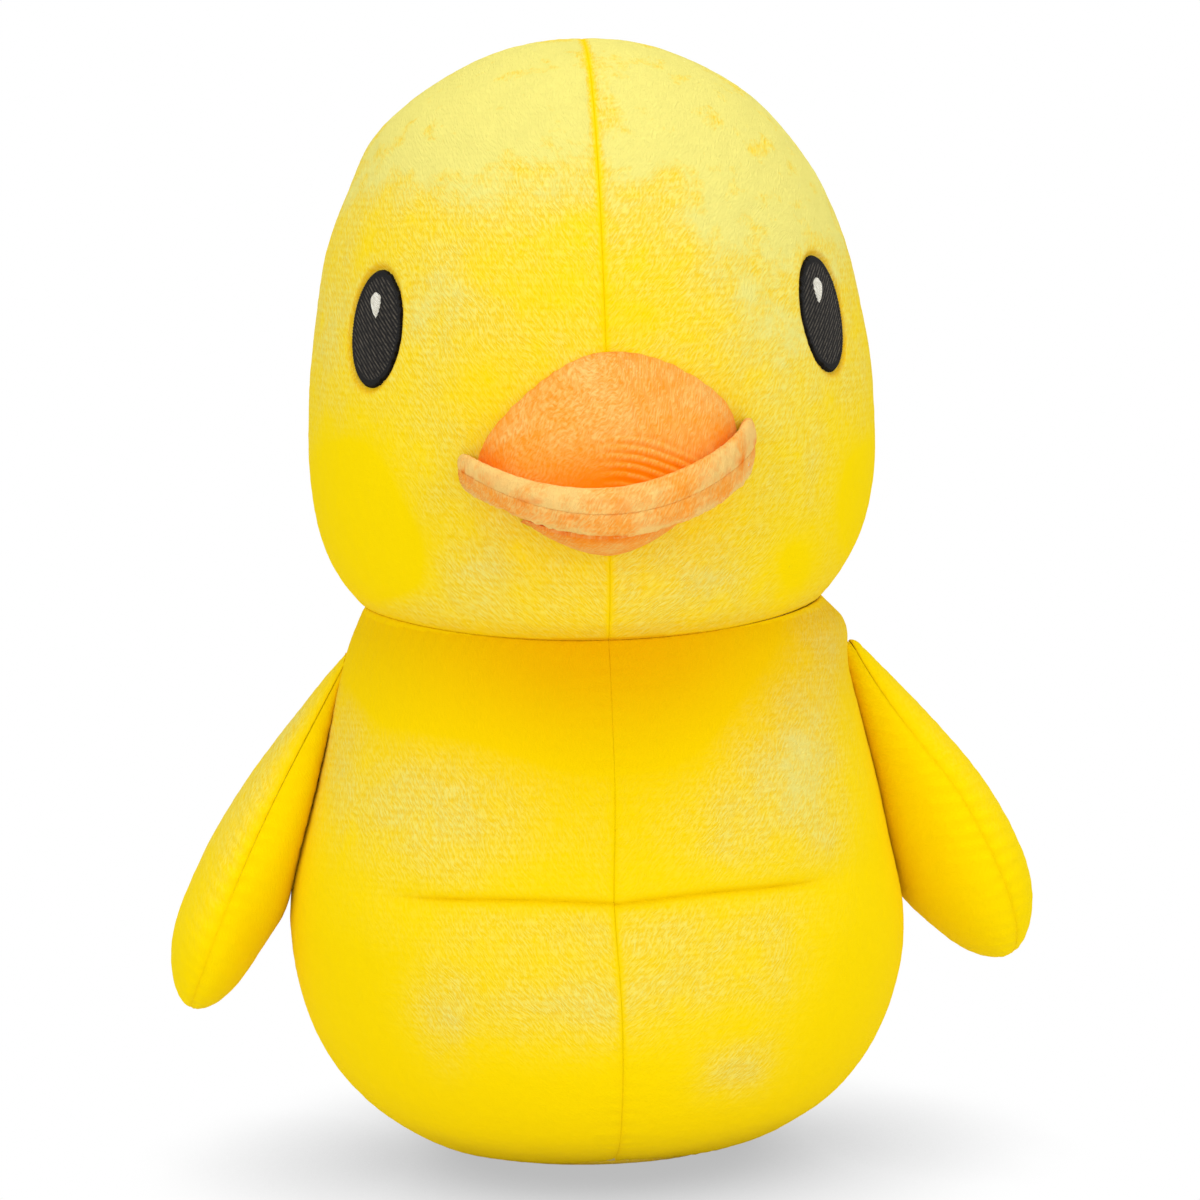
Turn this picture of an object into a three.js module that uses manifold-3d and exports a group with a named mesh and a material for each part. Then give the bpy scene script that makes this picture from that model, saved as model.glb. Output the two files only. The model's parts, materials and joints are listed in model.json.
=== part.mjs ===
// A stuffed plush duck that stands on its round base, with a padded bill and two sewn-on wings.
// Millimetres. +Z is up, the duck looks along -Y, and its own left side is +X.
// The origin is on the floor, in the middle of the base.
import * as THREE from "three";
import { mergeVertices } from "three/addons/utils/BufferGeometryUtils.js";
import Module from "manifold-3d";

const wasm = await Module();
wasm.setup();

// Cloth and clearances
const coverThickness = 2.4; // knitted ground and its pile
const billCoverThickness = 1.6; // the same cloth with a shorter pile
const seamGap = 0.3; // between pieces that touch
const overrun = 6; // a cutter reaches this far past what it cuts
const weldDistance = 0.001; // points closer than this are one point

// Neck seam, where the cover of the head is sewn to the cover of the body. The head, what is
// sewn to it and the shoulders are set out from here, so they move with it.
const neckHeight = 100;
const neckWidth = 83;

// Head: narrows to a round crown above its widest line, and to the neck below it
const headTall = 100; // from the neck seam to the crown
const cheekRise = 30; // from the neck seam to the widest line
const headTop = neckHeight + headTall;
const headWidestHeight = neckHeight + cheekRise;
const headWidth = 102;
const headDepth = 93;
const crownPower = 2.25;
const cheekPower = 2.3;
const headSideSeamBehindCentre = 6;

// Body: tapers from the belly up to the neck, and is pressed flat where it stands
const bellyHeight = 45;
const bodyWidth = 111;
const bodyDepth = 101;
const pressedFlat = 2; // how far the round bottom would reach below the floor
const shoulderPower = 1.3;
const bottomPower = 2.3;
const pelletFill = 17; // height of the pouch of pellets

// Belly darts, one in each front panel
const dartHeight = 54.5;
const dartReach = 36; // from the centre seam outwards
const dartWidth = 0.5;
const dartDepth = 1.2;

// Eyes, embroidered on the front panels
const eyeRise = 50.4; // from the neck seam to the middle of an eye
const eyeHeight = neckHeight + eyeRise;
const eyeWidth = 14.5;
const eyeTall = 21;
const eyeAngle = THREE.MathUtils.degToRad(53.5); // from straight ahead, round the head
const eyeSunk = 0.6; // the thread lies this far below the tips of the pile
const eyeThreadThickness = 0.8;
const highlightRise = 4.3; // above the middle of the eye
const highlightWidth = 2.6;
const highlightTall = 3.8;

// Bill: a dome on the face with an upturned brim round it, and a small lower bill
const billRise = 20.4; // from the neck seam to the middle of the brim at its front
const billHeight = neckHeight + billRise;
const billRoot = 40; // from the middle of the head forwards to the middle of the dome
const billWidth = 49.5;
const brimReach = 32; // from the middle of the dome to the front of the brim
const brimThickness = 7.6;
const billSmile = 8; // how much higher the brim is at its corners than at its front
const domeWidth = 46;
const domeReach = 23;
const domeRise = 26;
const lowerBillWidth = 31;
const lowerBillReach = 22;
const lowerBillDepth = 4.4;

// Wings: flat teardrop pads that hang from the shoulders
const shoulderDrop = 9.5; // from the neck seam down to the line that a wing swings on
const shoulderHeight = neckHeight - shoulderDrop;
const wingLength = 67;
const wingBreadth = 34; // front to back
const wingThickness = 18;
const wingRootShare = 0.26; // of the full breadth and thickness
const wingFullestShare = 0.75; // of the way to the tip
const wingSewnFlat = 10; // no filling this close to the hinge line
const wingLean = THREE.MathUtils.degToRad(25); // from straight down, outwards
const wingTwist = THREE.MathUtils.degToRad(10); // turns the front edge outwards

// Fineness of the surfaces
const bodyTurns = 32;
const bodyRows = 14;
const wingTurns = 16;
const wingRows = 10;
const billTurns = 28;
const faceSteps = 4;
const lipSteps = 9;
const domeSteps = 6;
const rootSteps = 2;
const bendSteps = 10;

const yellowVelour = new THREE.MeshStandardMaterial({ color: 0xfad911, roughness: 0.9 });
const orangeVelour = new THREE.MeshStandardMaterial({ color: 0xfca53a, roughness: 0.9 });
const blackThread = new THREE.MeshStandardMaterial({ color: 0x2f2a22, roughness: 0.5 });
const whiteThread = new THREE.MeshStandardMaterial({ color: 0xeeeae0, roughness: 0.5 });
const fibreFill = new THREE.MeshStandardMaterial({ color: 0xf4f4f0, roughness: 1 });
const pouchCalico = new THREE.MeshStandardMaterial({ color: 0xe8e0cc, roughness: 1 });

// How far a form reaches before it closes, if it is as wide as the neck at the neck seam.
function reachThroughNeck(width, widestHeight, power) {
  const narrowedShare = (1 - (neckWidth / width) ** power) ** (1 / power);
  return Math.abs(widestHeight - neckHeight) / narrowedShare;
}

// Heights at which a form has a ring of points, closer together towards both ends.
function ringHeights(low, high) {
  const heights = [];
  for (let row = 0; row <= bodyRows; row++) {
    const share = (1 - Math.cos((Math.PI * row) / bodyRows)) / 2;
    heights.push(THREE.MathUtils.lerp(low, high, share));
  }
  return heights;
}

const headForm = {
  rings: ringHeights(neckHeight, headTop),
  width: headWidth,
  depth: headDepth,
  widestHeight: headWidestHeight,
  reachUp: headTop - headWidestHeight,
  powerUp: crownPower,
  reachDown: reachThroughNeck(headWidth, headWidestHeight, cheekPower),
  powerDown: cheekPower,
};

const pouchBottom = coverThickness + seamGap;
const pouchTop = pouchBottom + pelletFill;

const bodyForm = {
  rings: [...ringHeights(0, neckHeight), pouchBottom, pouchTop].sort((a, b) => a - b),
  width: bodyWidth,
  depth: bodyDepth,
  widestHeight: bellyHeight,
  reachUp: reachThroughNeck(bodyWidth, bellyHeight, shoulderPower),
  powerUp: shoulderPower,
  reachDown: bellyHeight + pressedFlat,
  powerDown: bottomPower,
};

// Half the width of a form at a height: it narrows away from its widest line as a
// superellipse does, (1 - distance share ^ power) ^ (1 / power). Inset moves the surface in.
function halfWidthAt(form, height, inset = 0) {
  const above = height > form.widestHeight;
  const reach = (above ? form.reachUp : form.reachDown) - inset;
  const power = above ? form.powerUp : form.powerDown;
  const share = Math.min(Math.abs(height - form.widestHeight) / reach, 1);
  return (form.width / 2 - inset) * (1 - share ** power) ** (1 / power);
}

// A closed three.js geometry as a solid that can be joined and cut.
function solidOf(geometry) {
  geometry.deleteAttribute("normal");
  geometry.deleteAttribute("uv");
  const merged = mergeVertices(geometry, weldDistance);
  const corners = merged.index.array;
  const kept = [];
  for (let i = 0; i < corners.length; i += 3) {
    const [a, b, c] = corners.subarray(i, i + 3);
    if (a !== b && b !== c && c !== a) kept.push(a, b, c);
  }
  const vertProperties = merged.attributes.position.array;
  const triVerts = new Uint32Array(kept);
  return new wasm.Manifold(new wasm.Mesh({ numProp: 3, vertProperties, triVerts }));
}

function meshOf(name, solid, material) {
  const { vertProperties, triVerts } = solid.getMesh();
  const geometry = new THREE.BufferGeometry();
  geometry.setAttribute("position", new THREE.BufferAttribute(vertProperties, 3));
  geometry.setIndex(new THREE.BufferAttribute(triVerts, 1));
  geometry.computeVertexNormals();
  const mesh = new THREE.Mesh(geometry, material);
  mesh.name = name;
  return mesh;
}

// A profile of (radius, height) points turned round the Z axis, then made oval.
function turned(profile, turns, depthShare) {
  const geometry = new THREE.LatheGeometry(profile, turns);
  geometry.rotateX(Math.PI / 2);
  geometry.scale(1, depthShare, 1);
  return geometry;
}

function block(low, high) {
  const size = new THREE.Vector3().subVectors(high, low);
  const middle = new THREE.Vector3().addVectors(low, high).multiplyScalar(0.5);
  const geometry = new THREE.BoxGeometry(size.x, size.y, size.z);
  geometry.translate(middle.x, middle.y, middle.z);
  return geometry;
}

// The oval form between two heights, closed flat where it doesn't close by itself. Forms
// inside each other share their rings, so that they stay the same distance apart.
function stuffedForm(form, low, high, inset = 0) {
  const between = form.rings.filter((height) => height > low && height < high);
  const profile = [new THREE.Vector2(0, low)];
  for (const height of [low, ...between, high])
    profile.push(new THREE.Vector2(halfWidthAt(form, height, inset), height));
  profile.push(new THREE.Vector2(0, high));
  const depthShare = (form.depth / 2 - inset) / (form.width / 2 - inset);
  return turned(profile, bodyTurns, depthShare);
}

function headSolid(inset, low = neckHeight) {
  return solidOf(stuffedForm(headForm, low, headTop - inset, inset));
}

function bodySolid(inset, low, high) {
  return solidOf(stuffedForm(bodyForm, low, high, inset));
}

// The block of space that one cover panel takes: front or back of the side seam, left or
// right of the centre seam, half a seam gap away from both.
function panelSpace(side, end, seamDepth) {
  const far = headTop;
  const near = seamGap / 2;
  const x = [side * near, side * far];
  const y = [seamDepth + end * near, seamDepth + end * far];
  const low = new THREE.Vector3(Math.min(...x), Math.min(...y), -overrun);
  const high = new THREE.Vector3(Math.max(...x), Math.max(...y), headTop + overrun);
  return solidOf(block(low, high));
}

const sides = [
  { name: "left", side: 1 },
  { name: "right", side: -1 },
];
const ends = [
  { name: "front", end: -1 },
  { name: "back", end: 1 },
];

// A column with the outline of an eye, or of its highlight, that runs into the head.
function eyeColumn(side, width, tall, rise, grow = 0) {
  const column = new THREE.CylinderGeometry(1, 1, headDepth, wingTurns);
  column.scale(width / 2 + grow, 1, tall / 2 + grow);
  column.translate(0, -headDepth / 2, eyeHeight + rise);
  column.rotateZ(side * eyeAngle);
  return solidOf(column);
}

function eyePieces({ name, side }) {
  const layer = headSolid(eyeSunk).subtract(headSolid(eyeSunk + eyeThreadThickness));
  const highlight = eyeColumn(side, highlightWidth, highlightTall, highlightRise);
  const window = eyeColumn(side, highlightWidth, highlightTall, highlightRise, seamGap);
  const patch = eyeColumn(side, eyeWidth, eyeTall, 0).intersect(layer).subtract(window);
  return [
    meshOf(`${name}_eye_embroidery`, patch, blackThread),
    meshOf(`${name}_eye_highlight`, highlight.intersect(layer), whiteThread),
  ];
}

// The pile is sheared away under each eye, down to just below its thread.
function eyePocket(side) {
  const floor = headSolid(eyeSunk + eyeThreadThickness + seamGap);
  return eyeColumn(side, eyeWidth, eyeTall, 0, seamGap).subtract(floor);
}

function headPieces() {
  const shell = headSolid(0, neckHeight + seamGap / 2).subtract(
    headSolid(coverThickness, neckHeight - overrun),
  );
  const pieces = [];
  for (const { name: sideName, side } of sides)
    for (const { name: endName, end } of ends) {
      const space = panelSpace(side, end, headSideSeamBehindCentre);
      const panel = shell.intersect(space).subtract(eyePocket(side));
      pieces.push(meshOf(`head_${endName}_${sideName}_panel`, panel, yellowVelour));
    }
  const fill = headSolid(coverThickness + seamGap, neckHeight + seamGap / 2);
  pieces.push(meshOf("head_stuffing", fill, fibreFill));
  return pieces;
}

// A dart is a narrow fold sewn into the cloth: here a thin groove beside the centre seam.
function dartGroove(side) {
  const x = [side * seamGap, side * dartReach];
  const half = dartWidth / 2;
  const low = new THREE.Vector3(Math.min(...x), -bodyDepth, dartHeight - half);
  const high = new THREE.Vector3(Math.max(...x), 0, dartHeight + half);
  const floor = bodySolid(dartDepth, 0, neckHeight);
  return solidOf(block(low, high)).subtract(floor);
}

function bodyPieces() {
  const neckEdge = neckHeight - seamGap / 2;
  const baseWidth = 2 * halfWidthAt(bodyForm, 0);
  const hole = ovalDisc(baseWidth, -overrun, coverThickness + overrun);
  const shell = bodySolid(0, 0, neckEdge)
    .subtract(bodySolid(coverThickness, coverThickness - pressedFlat, neckHeight + overrun))
    .subtract(hole);
  const pieces = [];
  for (const { name: sideName, side } of sides)
    for (const { name: endName, end } of ends) {
      const panel = shell.intersect(panelSpace(side, end, 0)).subtract(dartGroove(side));
      pieces.push(meshOf(`body_${endName}_${sideName}_panel`, panel, yellowVelour));
    }
  const base = ovalDisc(baseWidth - 2 * seamGap, 0, coverThickness);
  pieces.push(meshOf("base_panel", base, yellowVelour));
  return pieces;
}

// A flat oval disc with the body's proportions.
function ovalDisc(width, low, high) {
  const disc = new THREE.CylinderGeometry(width / 2, width / 2, high - low, bodyTurns);
  disc.rotateX(Math.PI / 2);
  disc.scale(1, bodyDepth / bodyWidth, 1);
  disc.translate(0, 0, (low + high) / 2);
  return solidOf(disc);
}

// The pouch of pellets fills the bottom of the body, and fibre fills the rest.
function bodyFillPieces() {
  const inset = coverThickness + seamGap;
  const pouch = bodySolid(inset, pouchBottom, pouchTop);
  const fill = bodySolid(inset, pouchTop + seamGap, neckHeight - seamGap / 2);
  return [
    meshOf("pellet_pouch", pouch, pouchCalico),
    meshOf("body_stuffing", fill, fibreFill),
  ];
}

// Bends the bill into its smile: a point rises with the square of its distance from the middle.
function smiling(geometry) {
  const at = geometry.attributes.position;
  for (let i = 0; i < at.count; i++)
    at.setZ(i, at.getZ(i) + billSmile * (at.getX(i) / (billWidth / 2)) ** 2);
  return geometry;
}

// Points along a level face of the bill, close enough together for the face to bend.
function levelFace(fromRadius, toRadius, level) {
  const points = [];
  for (let step = 0; step <= faceSteps; step++) {
    const radius = THREE.MathUtils.lerp(fromRadius, toRadius, step / faceSteps);
    points.push(new THREE.Vector2(radius, level));
  }
  return points;
}

// The brim: a disc whose edge swells into a round lip. The valley inside the lip has one
// thickness of cloth above the seam that runs round the middle of the lip.
function brimForm(inset) {
  const lip = brimThickness / 2 - inset;
  const lipMiddle = (billWidth - brimThickness) / 2;
  const floor = billCoverThickness + seamGap - inset;
  const lipEnd = Math.PI - Math.asin(floor / lip);
  const profile = levelFace(0, lipMiddle, -lip);
  for (let step = 1; step <= lipSteps; step++) {
    const turn = THREE.MathUtils.lerp(-Math.PI / 2, lipEnd, step / lipSteps);
    const radius = lipMiddle + lip * Math.cos(turn);
    profile.push(new THREE.Vector2(radius, lip * Math.sin(turn)));
  }
  profile.push(...levelFace(lipMiddle + lip * Math.cos(lipEnd), 0, floor));
  return smiling(turned(profile, billTurns, (brimReach - inset) / (billWidth / 2 - inset)));
}

// Half an ellipsoid that stands on a level of the bill, or hangs from it. Its straight foot
// reaches on past the level, into what it stands on.
function halfDome(width, reach, rise, level, foot = 0) {
  const profile = levelFace(0, width / 2, level - foot);
  for (let step = 0; step <= domeSteps; step++) {
    const turn = ((Math.PI / 2) * step) / domeSteps;
    const height = level + rise * Math.sin(turn);
    profile.push(new THREE.Vector2((width / 2) * Math.cos(turn), height));
  }
  if (rise < 0) profile.reverse();
  return smiling(turned(profile, billTurns, reach / (width / 2)));
}

function upperBillSolid(inset) {
  const foot = brimThickness / 4;
  const dome = halfDome(domeWidth - 2 * inset, domeReach - inset, domeRise - inset, 0, foot);
  return solidOf(brimForm(inset)).add(solidOf(dome));
}

// The lower bill is two layers of cloth, too thin to need filling.
function lowerBillSolid() {
  const level = -brimThickness / 2 - seamGap;
  return solidOf(halfDome(lowerBillWidth, lowerBillReach, -lowerBillDepth, level));
}

// The space above or below a level of the bill, bent like the bill.
function billSpace(level, up) {
  const wide = billWidth + 2 * overrun;
  const long = 2 * (brimReach + overrun);
  const tall = 2 * domeRise;
  const space = new THREE.BoxGeometry(wide, long, tall, 2 * bendSteps, 1, 1);
  space.translate(0, 0, level + up * (tall / 2 + seamGap / 2));
  return solidOf(smiling(space));
}

// Everything of the bill is modelled round the middle of its dome, and stops at the face.
function billPieces() {
  const face = stuffedForm(headForm, neckHeight, headTop + seamGap, -seamGap);
  face.translate(0, billRoot, -billHeight);
  const head = solidOf(face);
  const cover = billCoverThickness;
  const upperShell = upperBillSolid(0).subtract(upperBillSolid(cover)).subtract(head);
  const upperFill = upperBillSolid(cover + seamGap).subtract(head);
  const lowerBill = lowerBillSolid().subtract(head);
  const lowerSeam = -brimThickness / 2 - seamGap - cover;
  return [
    meshOf("upper_bill_top_panel", upperShell.intersect(billSpace(0, 1)), orangeVelour),
    meshOf("upper_bill_under_panel", upperShell.intersect(billSpace(0, -1)), orangeVelour),
    meshOf("upper_bill_stuffing", upperFill, fibreFill),
    meshOf("lower_bill_top_panel", lowerBill.intersect(billSpace(lowerSeam, 1)), orangeVelour),
    meshOf("lower_bill_under_panel", lowerBill.intersect(billSpace(lowerSeam, -1)), orangeVelour),
  ];
}

// A wing's breadth and thickness as a share of its fullest: it swells from the root on a
// quarter sine, and closes at the tip on a quarter ellipse.
function wingSwell(share) {
  const fullest = wingFullestShare;
  if (share > fullest) return Math.sqrt(1 - ((share - fullest) / (1 - fullest)) ** 2);
  return wingRootShare + (1 - wingRootShare) * Math.sin((Math.PI / 2) * (share / fullest));
}

// Turns each point of a wing about the wing's length, from nothing at the root to the full
// twist halfway down.
function twisted(geometry, twist) {
  const at = geometry.attributes.position;
  const axis = new THREE.Vector3(0, 0, 1);
  const point = new THREE.Vector3();
  for (let i = 0; i < at.count; i++) {
    point.fromBufferAttribute(at, i);
    const share = THREE.MathUtils.smoothstep(-point.z / wingLength, 0, 0.5);
    point.applyAxisAngle(axis, twist * share);
    at.setXYZ(i, point.x, point.y, point.z);
  }
  return geometry;
}

// A wing hangs down its own Z axis from the hinge line at its root, which it rounds off. A
// form inside it starts flat, at the given distance below that line.
function wingForm(inset, twist, top) {
  const long = wingLength - inset;
  const profile = [];
  for (let row = 0; row <= wingRows; row++) {
    const share = THREE.MathUtils.lerp(top / long, 1, Math.cos(((Math.PI / 2) * row) / wingRows));
    const radius = Math.max((wingThickness / 2) * wingSwell(share) - inset, 0);
    profile.push(new THREE.Vector2(radius, -long * share));
  }
  const root = profile.at(-1);
  for (let step = 1; step <= rootSteps; step++) {
    const turn = ((Math.PI / 2) * step) / rootSteps;
    const height = top ? root.y : root.x * Math.sin(turn);
    profile.push(new THREE.Vector2(root.x * Math.cos(turn), height));
  }
  const breadthShare = (wingBreadth / 2 - inset) / (wingThickness / 2 - inset);
  return solidOf(twisted(turned(profile, wingTurns, breadthShare), twist));
}

// The space round a wing that lies further out than a distance from its edge seam.
function wingSpace(side, distance, twist) {
  const thick = 2 * wingThickness;
  const long = wingLength + 2 * overrun;
  const space = new THREE.BoxGeometry(thick, 2 * wingBreadth, long, 1, 1, 2 * wingRows);
  space.translate(side * (distance + thick / 2), 0, overrun - long / 2);
  return solidOf(twisted(space, twist));
}

// The inner face of a wing follows the side of the body that it lies against.
function wingGroup({ name, side }) {
  const group = new THREE.Group();
  const rootRadius = (wingRootShare * wingThickness) / 2;
  const hingeOut = halfWidthAt(bodyForm, shoulderHeight, -seamGap) + rootRadius;
  group.position.set(side * hingeOut, 0, shoulderHeight);
  group.rotation.y = -side * wingLean;
  group.updateMatrix();
  const intoWing = group.matrix.clone().invert();
  const twist = side * wingTwist;
  const clearOfBody = (inset, top) => {
    const flank = stuffedForm(bodyForm, -pressedFlat, neckHeight, -(inset + seamGap));
    return wingForm(inset, twist, top).subtract(solidOf(flank.applyMatrix4(intoWing)));
  };
  const shell = clearOfBody(0, 0).subtract(clearOfBody(coverThickness, wingSewnFlat));
  const fill = clearOfBody(coverThickness + seamGap, wingSewnFlat + seamGap);
  const outer = shell.intersect(wingSpace(side, seamGap / 2, twist));
  const inner = shell.subtract(wingSpace(side, -seamGap / 2, twist));
  group.add(
    meshOf(`${name}_wing_outer_panel`, outer, yellowVelour),
    meshOf(`${name}_wing_inner_panel`, inner, yellowVelour),
    meshOf(`${name}_wing_stuffing`, fill, fibreFill),
  );
  return group;
}

function billGroup() {
  const group = new THREE.Group();
  group.position.set(0, -billRoot, billHeight);
  group.add(...billPieces());
  return group;
}

const duck = new THREE.Group();
duck.add(...headPieces(), billGroup(), ...bodyPieces(), ...bodyFillPieces());
for (const side of sides) duck.add(...eyePieces(side), wingGroup(side));

export default duck;
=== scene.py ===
# %% [markdown]
# # A stuffed plush duck
# The duck is a soft toy of short-pile velour: a round head, a body that stands on a flat oval
# base, two padded wings, an orange bill, and eyes embroidered with black thread. Everything is
# made around a fixed frame, the plain model of the same duck, which says where each piece goes.
# Every cover is a sheet of cloth with a thickness, made as a grid of points worked out with numpy.

# %% Load the frame
import json
import math

import bpy
import numpy as np
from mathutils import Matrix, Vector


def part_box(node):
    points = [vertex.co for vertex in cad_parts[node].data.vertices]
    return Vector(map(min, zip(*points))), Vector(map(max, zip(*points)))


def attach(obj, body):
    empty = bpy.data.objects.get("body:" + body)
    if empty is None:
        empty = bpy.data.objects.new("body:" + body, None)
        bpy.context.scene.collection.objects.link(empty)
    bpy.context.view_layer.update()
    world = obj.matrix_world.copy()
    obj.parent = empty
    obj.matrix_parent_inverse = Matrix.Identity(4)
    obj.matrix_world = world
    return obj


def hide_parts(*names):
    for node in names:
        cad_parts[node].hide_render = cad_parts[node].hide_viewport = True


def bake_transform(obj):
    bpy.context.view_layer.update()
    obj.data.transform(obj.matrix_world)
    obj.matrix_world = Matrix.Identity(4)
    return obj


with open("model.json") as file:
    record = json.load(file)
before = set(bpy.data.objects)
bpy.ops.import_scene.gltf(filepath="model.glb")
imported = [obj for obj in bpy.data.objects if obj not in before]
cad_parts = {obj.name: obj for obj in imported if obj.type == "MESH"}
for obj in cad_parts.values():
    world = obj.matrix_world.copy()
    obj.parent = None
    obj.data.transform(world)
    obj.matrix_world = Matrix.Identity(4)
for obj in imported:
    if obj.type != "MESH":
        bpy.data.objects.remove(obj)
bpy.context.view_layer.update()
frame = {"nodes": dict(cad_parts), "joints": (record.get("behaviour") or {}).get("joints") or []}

# %% [markdown]
# ## Sizes
# Shapes are worked out in millimetres, because cloth, seams and thread are measured in them, and
# are turned to metres when a mesh is made. The big sizes are read from the frame, so that the
# covers keep fitting it. The rest are read off the photograph with the scale of the frame.

# %% Read the big sizes from the frame
MM = 0.001


def box_mm(node):
    """Lowest and highest corner of a node, in millimetres."""
    low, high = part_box(node)
    return np.array(low) / MM, np.array(high) / MM


head_low, head_high = box_mm("head_front_left_panel")
body_low, body_high = box_mm("body_front_left_panel")
eye_low, eye_high = box_mm("left_eye_embroidery")
hinge_out, _, hinge_height = np.array(frame["joints"][0]["pos_m"]) / MM

NECK_HEIGHT = (head_low[2] + body_high[2]) / 2
SEAM_GAP = head_low[2] - body_high[2]
HEAD_TOP = head_high[2]
HEAD_HALF_WIDTH = head_high[0]
HEAD_HALF_DEPTH = -head_low[1]
BODY_HALF_WIDTH = body_high[0]
BODY_HALF_DEPTH = -body_low[1]
EYE_HEIGHT = (eye_low[2] + eye_high[2]) / 2
SIGN = {"left": 1, "right": -1}  # of x on each side of the duck
print("head", HEAD_TOP, HEAD_HALF_WIDTH, HEAD_HALF_DEPTH, "neck", NECK_HEIGHT, "gap", SEAM_GAP)

# %% [markdown]
# ## Points on a grid
# A smooth soft thing has no corners to model by hand, so each sheet of cloth is a grid: rows go up
# it and columns go across it. Its normals come from the cross product of the two directions of the
# grid, and the distance of each point from a seam is the length of cloth between them.

# %% Measure a grid
TINY = 1e-12  # keeps a division by a length of nothing from failing
SPACING_SAMPLES = 4001


def unit(vectors):
    """Vectors divided by their length."""
    return vectors / np.maximum(np.linalg.norm(vectors, axis=-1, keepdims=True), TINY)


def normals_of(points):
    """Outward unit normals of a grid: (tangent across) x (tangent up), as a unit vector.
    A corner, where a grid can be squashed flat, takes the normal of a point two cells in."""
    across = np.gradient(points, axis=1)
    up = np.gradient(points, axis=0)
    normal = np.cross(across, up)
    for row, column in ((0, 0), (0, -1), (-1, 0), (-1, -1)):
        normal[row, column] = normal[2 if row == 0 else -3, 2 if column == 0 else -3]
    return unit(normal)


def lengths_along(points, axis):
    """Length of cloth from the grid's first edge to each point: the running sum of the steps."""
    steps = np.linalg.norm(np.diff(points, axis=axis), axis=2)
    pad = [(0, 0), (0, 0)]
    pad[axis] = (1, 0)
    return np.pad(np.cumsum(steps, axis=axis), pad)


def spaced(length, fine, coarse, reach, multiple):
    """Shares from 0 to 1 that crowd towards both ends: the step is coarse, less (coarse - fine)
    times e^(-distance / reach) from the nearer end. Their count is a multiple, plus one."""
    at = np.linspace(0, length, SPACING_SAMPLES)
    near = np.minimum(at, length - at)
    step = coarse - (coarse - fine) * np.exp(-near / reach)
    count = np.concatenate([[0], np.cumsum((1 / step[1:] + 1 / step[:-1]) / 2 * np.diff(at))])
    total = multiple * math.ceil(count[-1] / multiple)
    return np.interp(np.linspace(0, count[-1], total + 1), count, at) / length


print("a 70 mm edge has", len(spaced(70, 0.2, 0.55, 2.5, 4)), "points")

# %% [markdown]
# ## Unevenness
# Stuffing is never even and pile never lies flat. Both are added as smooth random hills: a random
# value on each corner of a cubic lattice, blended between the corners. The lattice is as large as
# the lumps are, and the seed is fixed, so the duck is the same each time.

# %% Random hills
TABLE_SIZE = 8192  # random values
PRIMES = np.array([73856093, 19349663, 83492791])  # mix the three numbers of a corner into one
LUMP_SIZE, LUMP_HEIGHT = 24, 0.4  # millimetres between lumps of fibre, and how high they are
DENT_SIZE, DENT_HEIGHT = LUMP_SIZE / 2.5, LUMP_HEIGHT / 3
CLUMP_SIZE, CLUMP_HEIGHT = 1.3, 0.055  # tufts of pile that cling together


def eased(low, high, value):
    """0 below low, 1 above high, 3t^2 - 2t^3 between."""
    t = np.clip((value - low) / (high - low), 0, 1)
    return t * t * (3 - 2 * t)


def bell(value, middle, spread):
    """A bell: e^(-((value - middle) / spread)^2), which is 1 in the middle."""
    return np.exp(-(((value - middle) / spread) ** 2))


def hills(points, cell, seed):
    """Smooth noise from -1 to 1, trilinear between lattice values with t eased to 3t^2 - 2t^3."""
    table = np.random.default_rng(seed).uniform(-1, 1, TABLE_SIZE)
    scaled = points / np.asarray(cell, float)
    base = np.floor(scaled).astype(np.int64)
    share = eased(0, 1, scaled - base)
    total = 0
    for corner in np.ndindex(2, 2, 2):
        key = np.bitwise_xor.reduce((base + corner) * PRIMES, axis=-1)
        weight = np.prod(np.where(corner, share, 1 - share), axis=-1)
        total = total + weight * table[key % TABLE_SIZE]
    return total


def unevenness(points, seed, lumps=1.0):
    """How far the cloth stands out: lumps of fibre, smaller dents, and clumps of pile in two
    sizes."""
    return (
        lumps * LUMP_HEIGHT * hills(points, LUMP_SIZE, seed)
        + lumps * DENT_HEIGHT * hills(points, DENT_SIZE, seed + 1)
        + CLUMP_HEIGHT * hills(points, CLUMP_SIZE, seed + 2)
        + CLUMP_HEIGHT / 2 * hills(points, CLUMP_SIZE / 2, seed + 3)
    )


print("hills at two places:", hills(np.array([[1.0, 2.0, 3.0], [9.0, 8.0, 7.0]]), 5, 1))

# %% [markdown]
# ## A piece of cloth
# A cover could be a surface without thickness, but a real one has a wall, and a printed or
# exported one needs it. So each piece is closed: a fine outer grid, a coarser inner grid that
# nobody sees, and a strip of wall between their edges.

# %% Close two grids into one mesh
def quads_of(rows, columns, first=0):
    """Corner numbers of every cell of a grid, anticlockwise seen from outside."""
    number = first + np.arange(rows * columns).reshape(rows, columns)
    cells = [number[:-1, :-1], number[:-1, 1:], number[1:, 1:], number[1:, :-1]]
    return np.stack(cells, axis=-1).reshape(-1, 4)


def rim_of(rows, columns, first=0):
    """Point numbers round the edge of a grid, anticlockwise, each once."""
    number = first + np.arange(rows * columns).reshape(rows, columns)
    parts = [number[0, :-1], number[:-1, -1], number[-1, :0:-1], number[:0:-1, 0]]
    return np.concatenate(parts)


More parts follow.
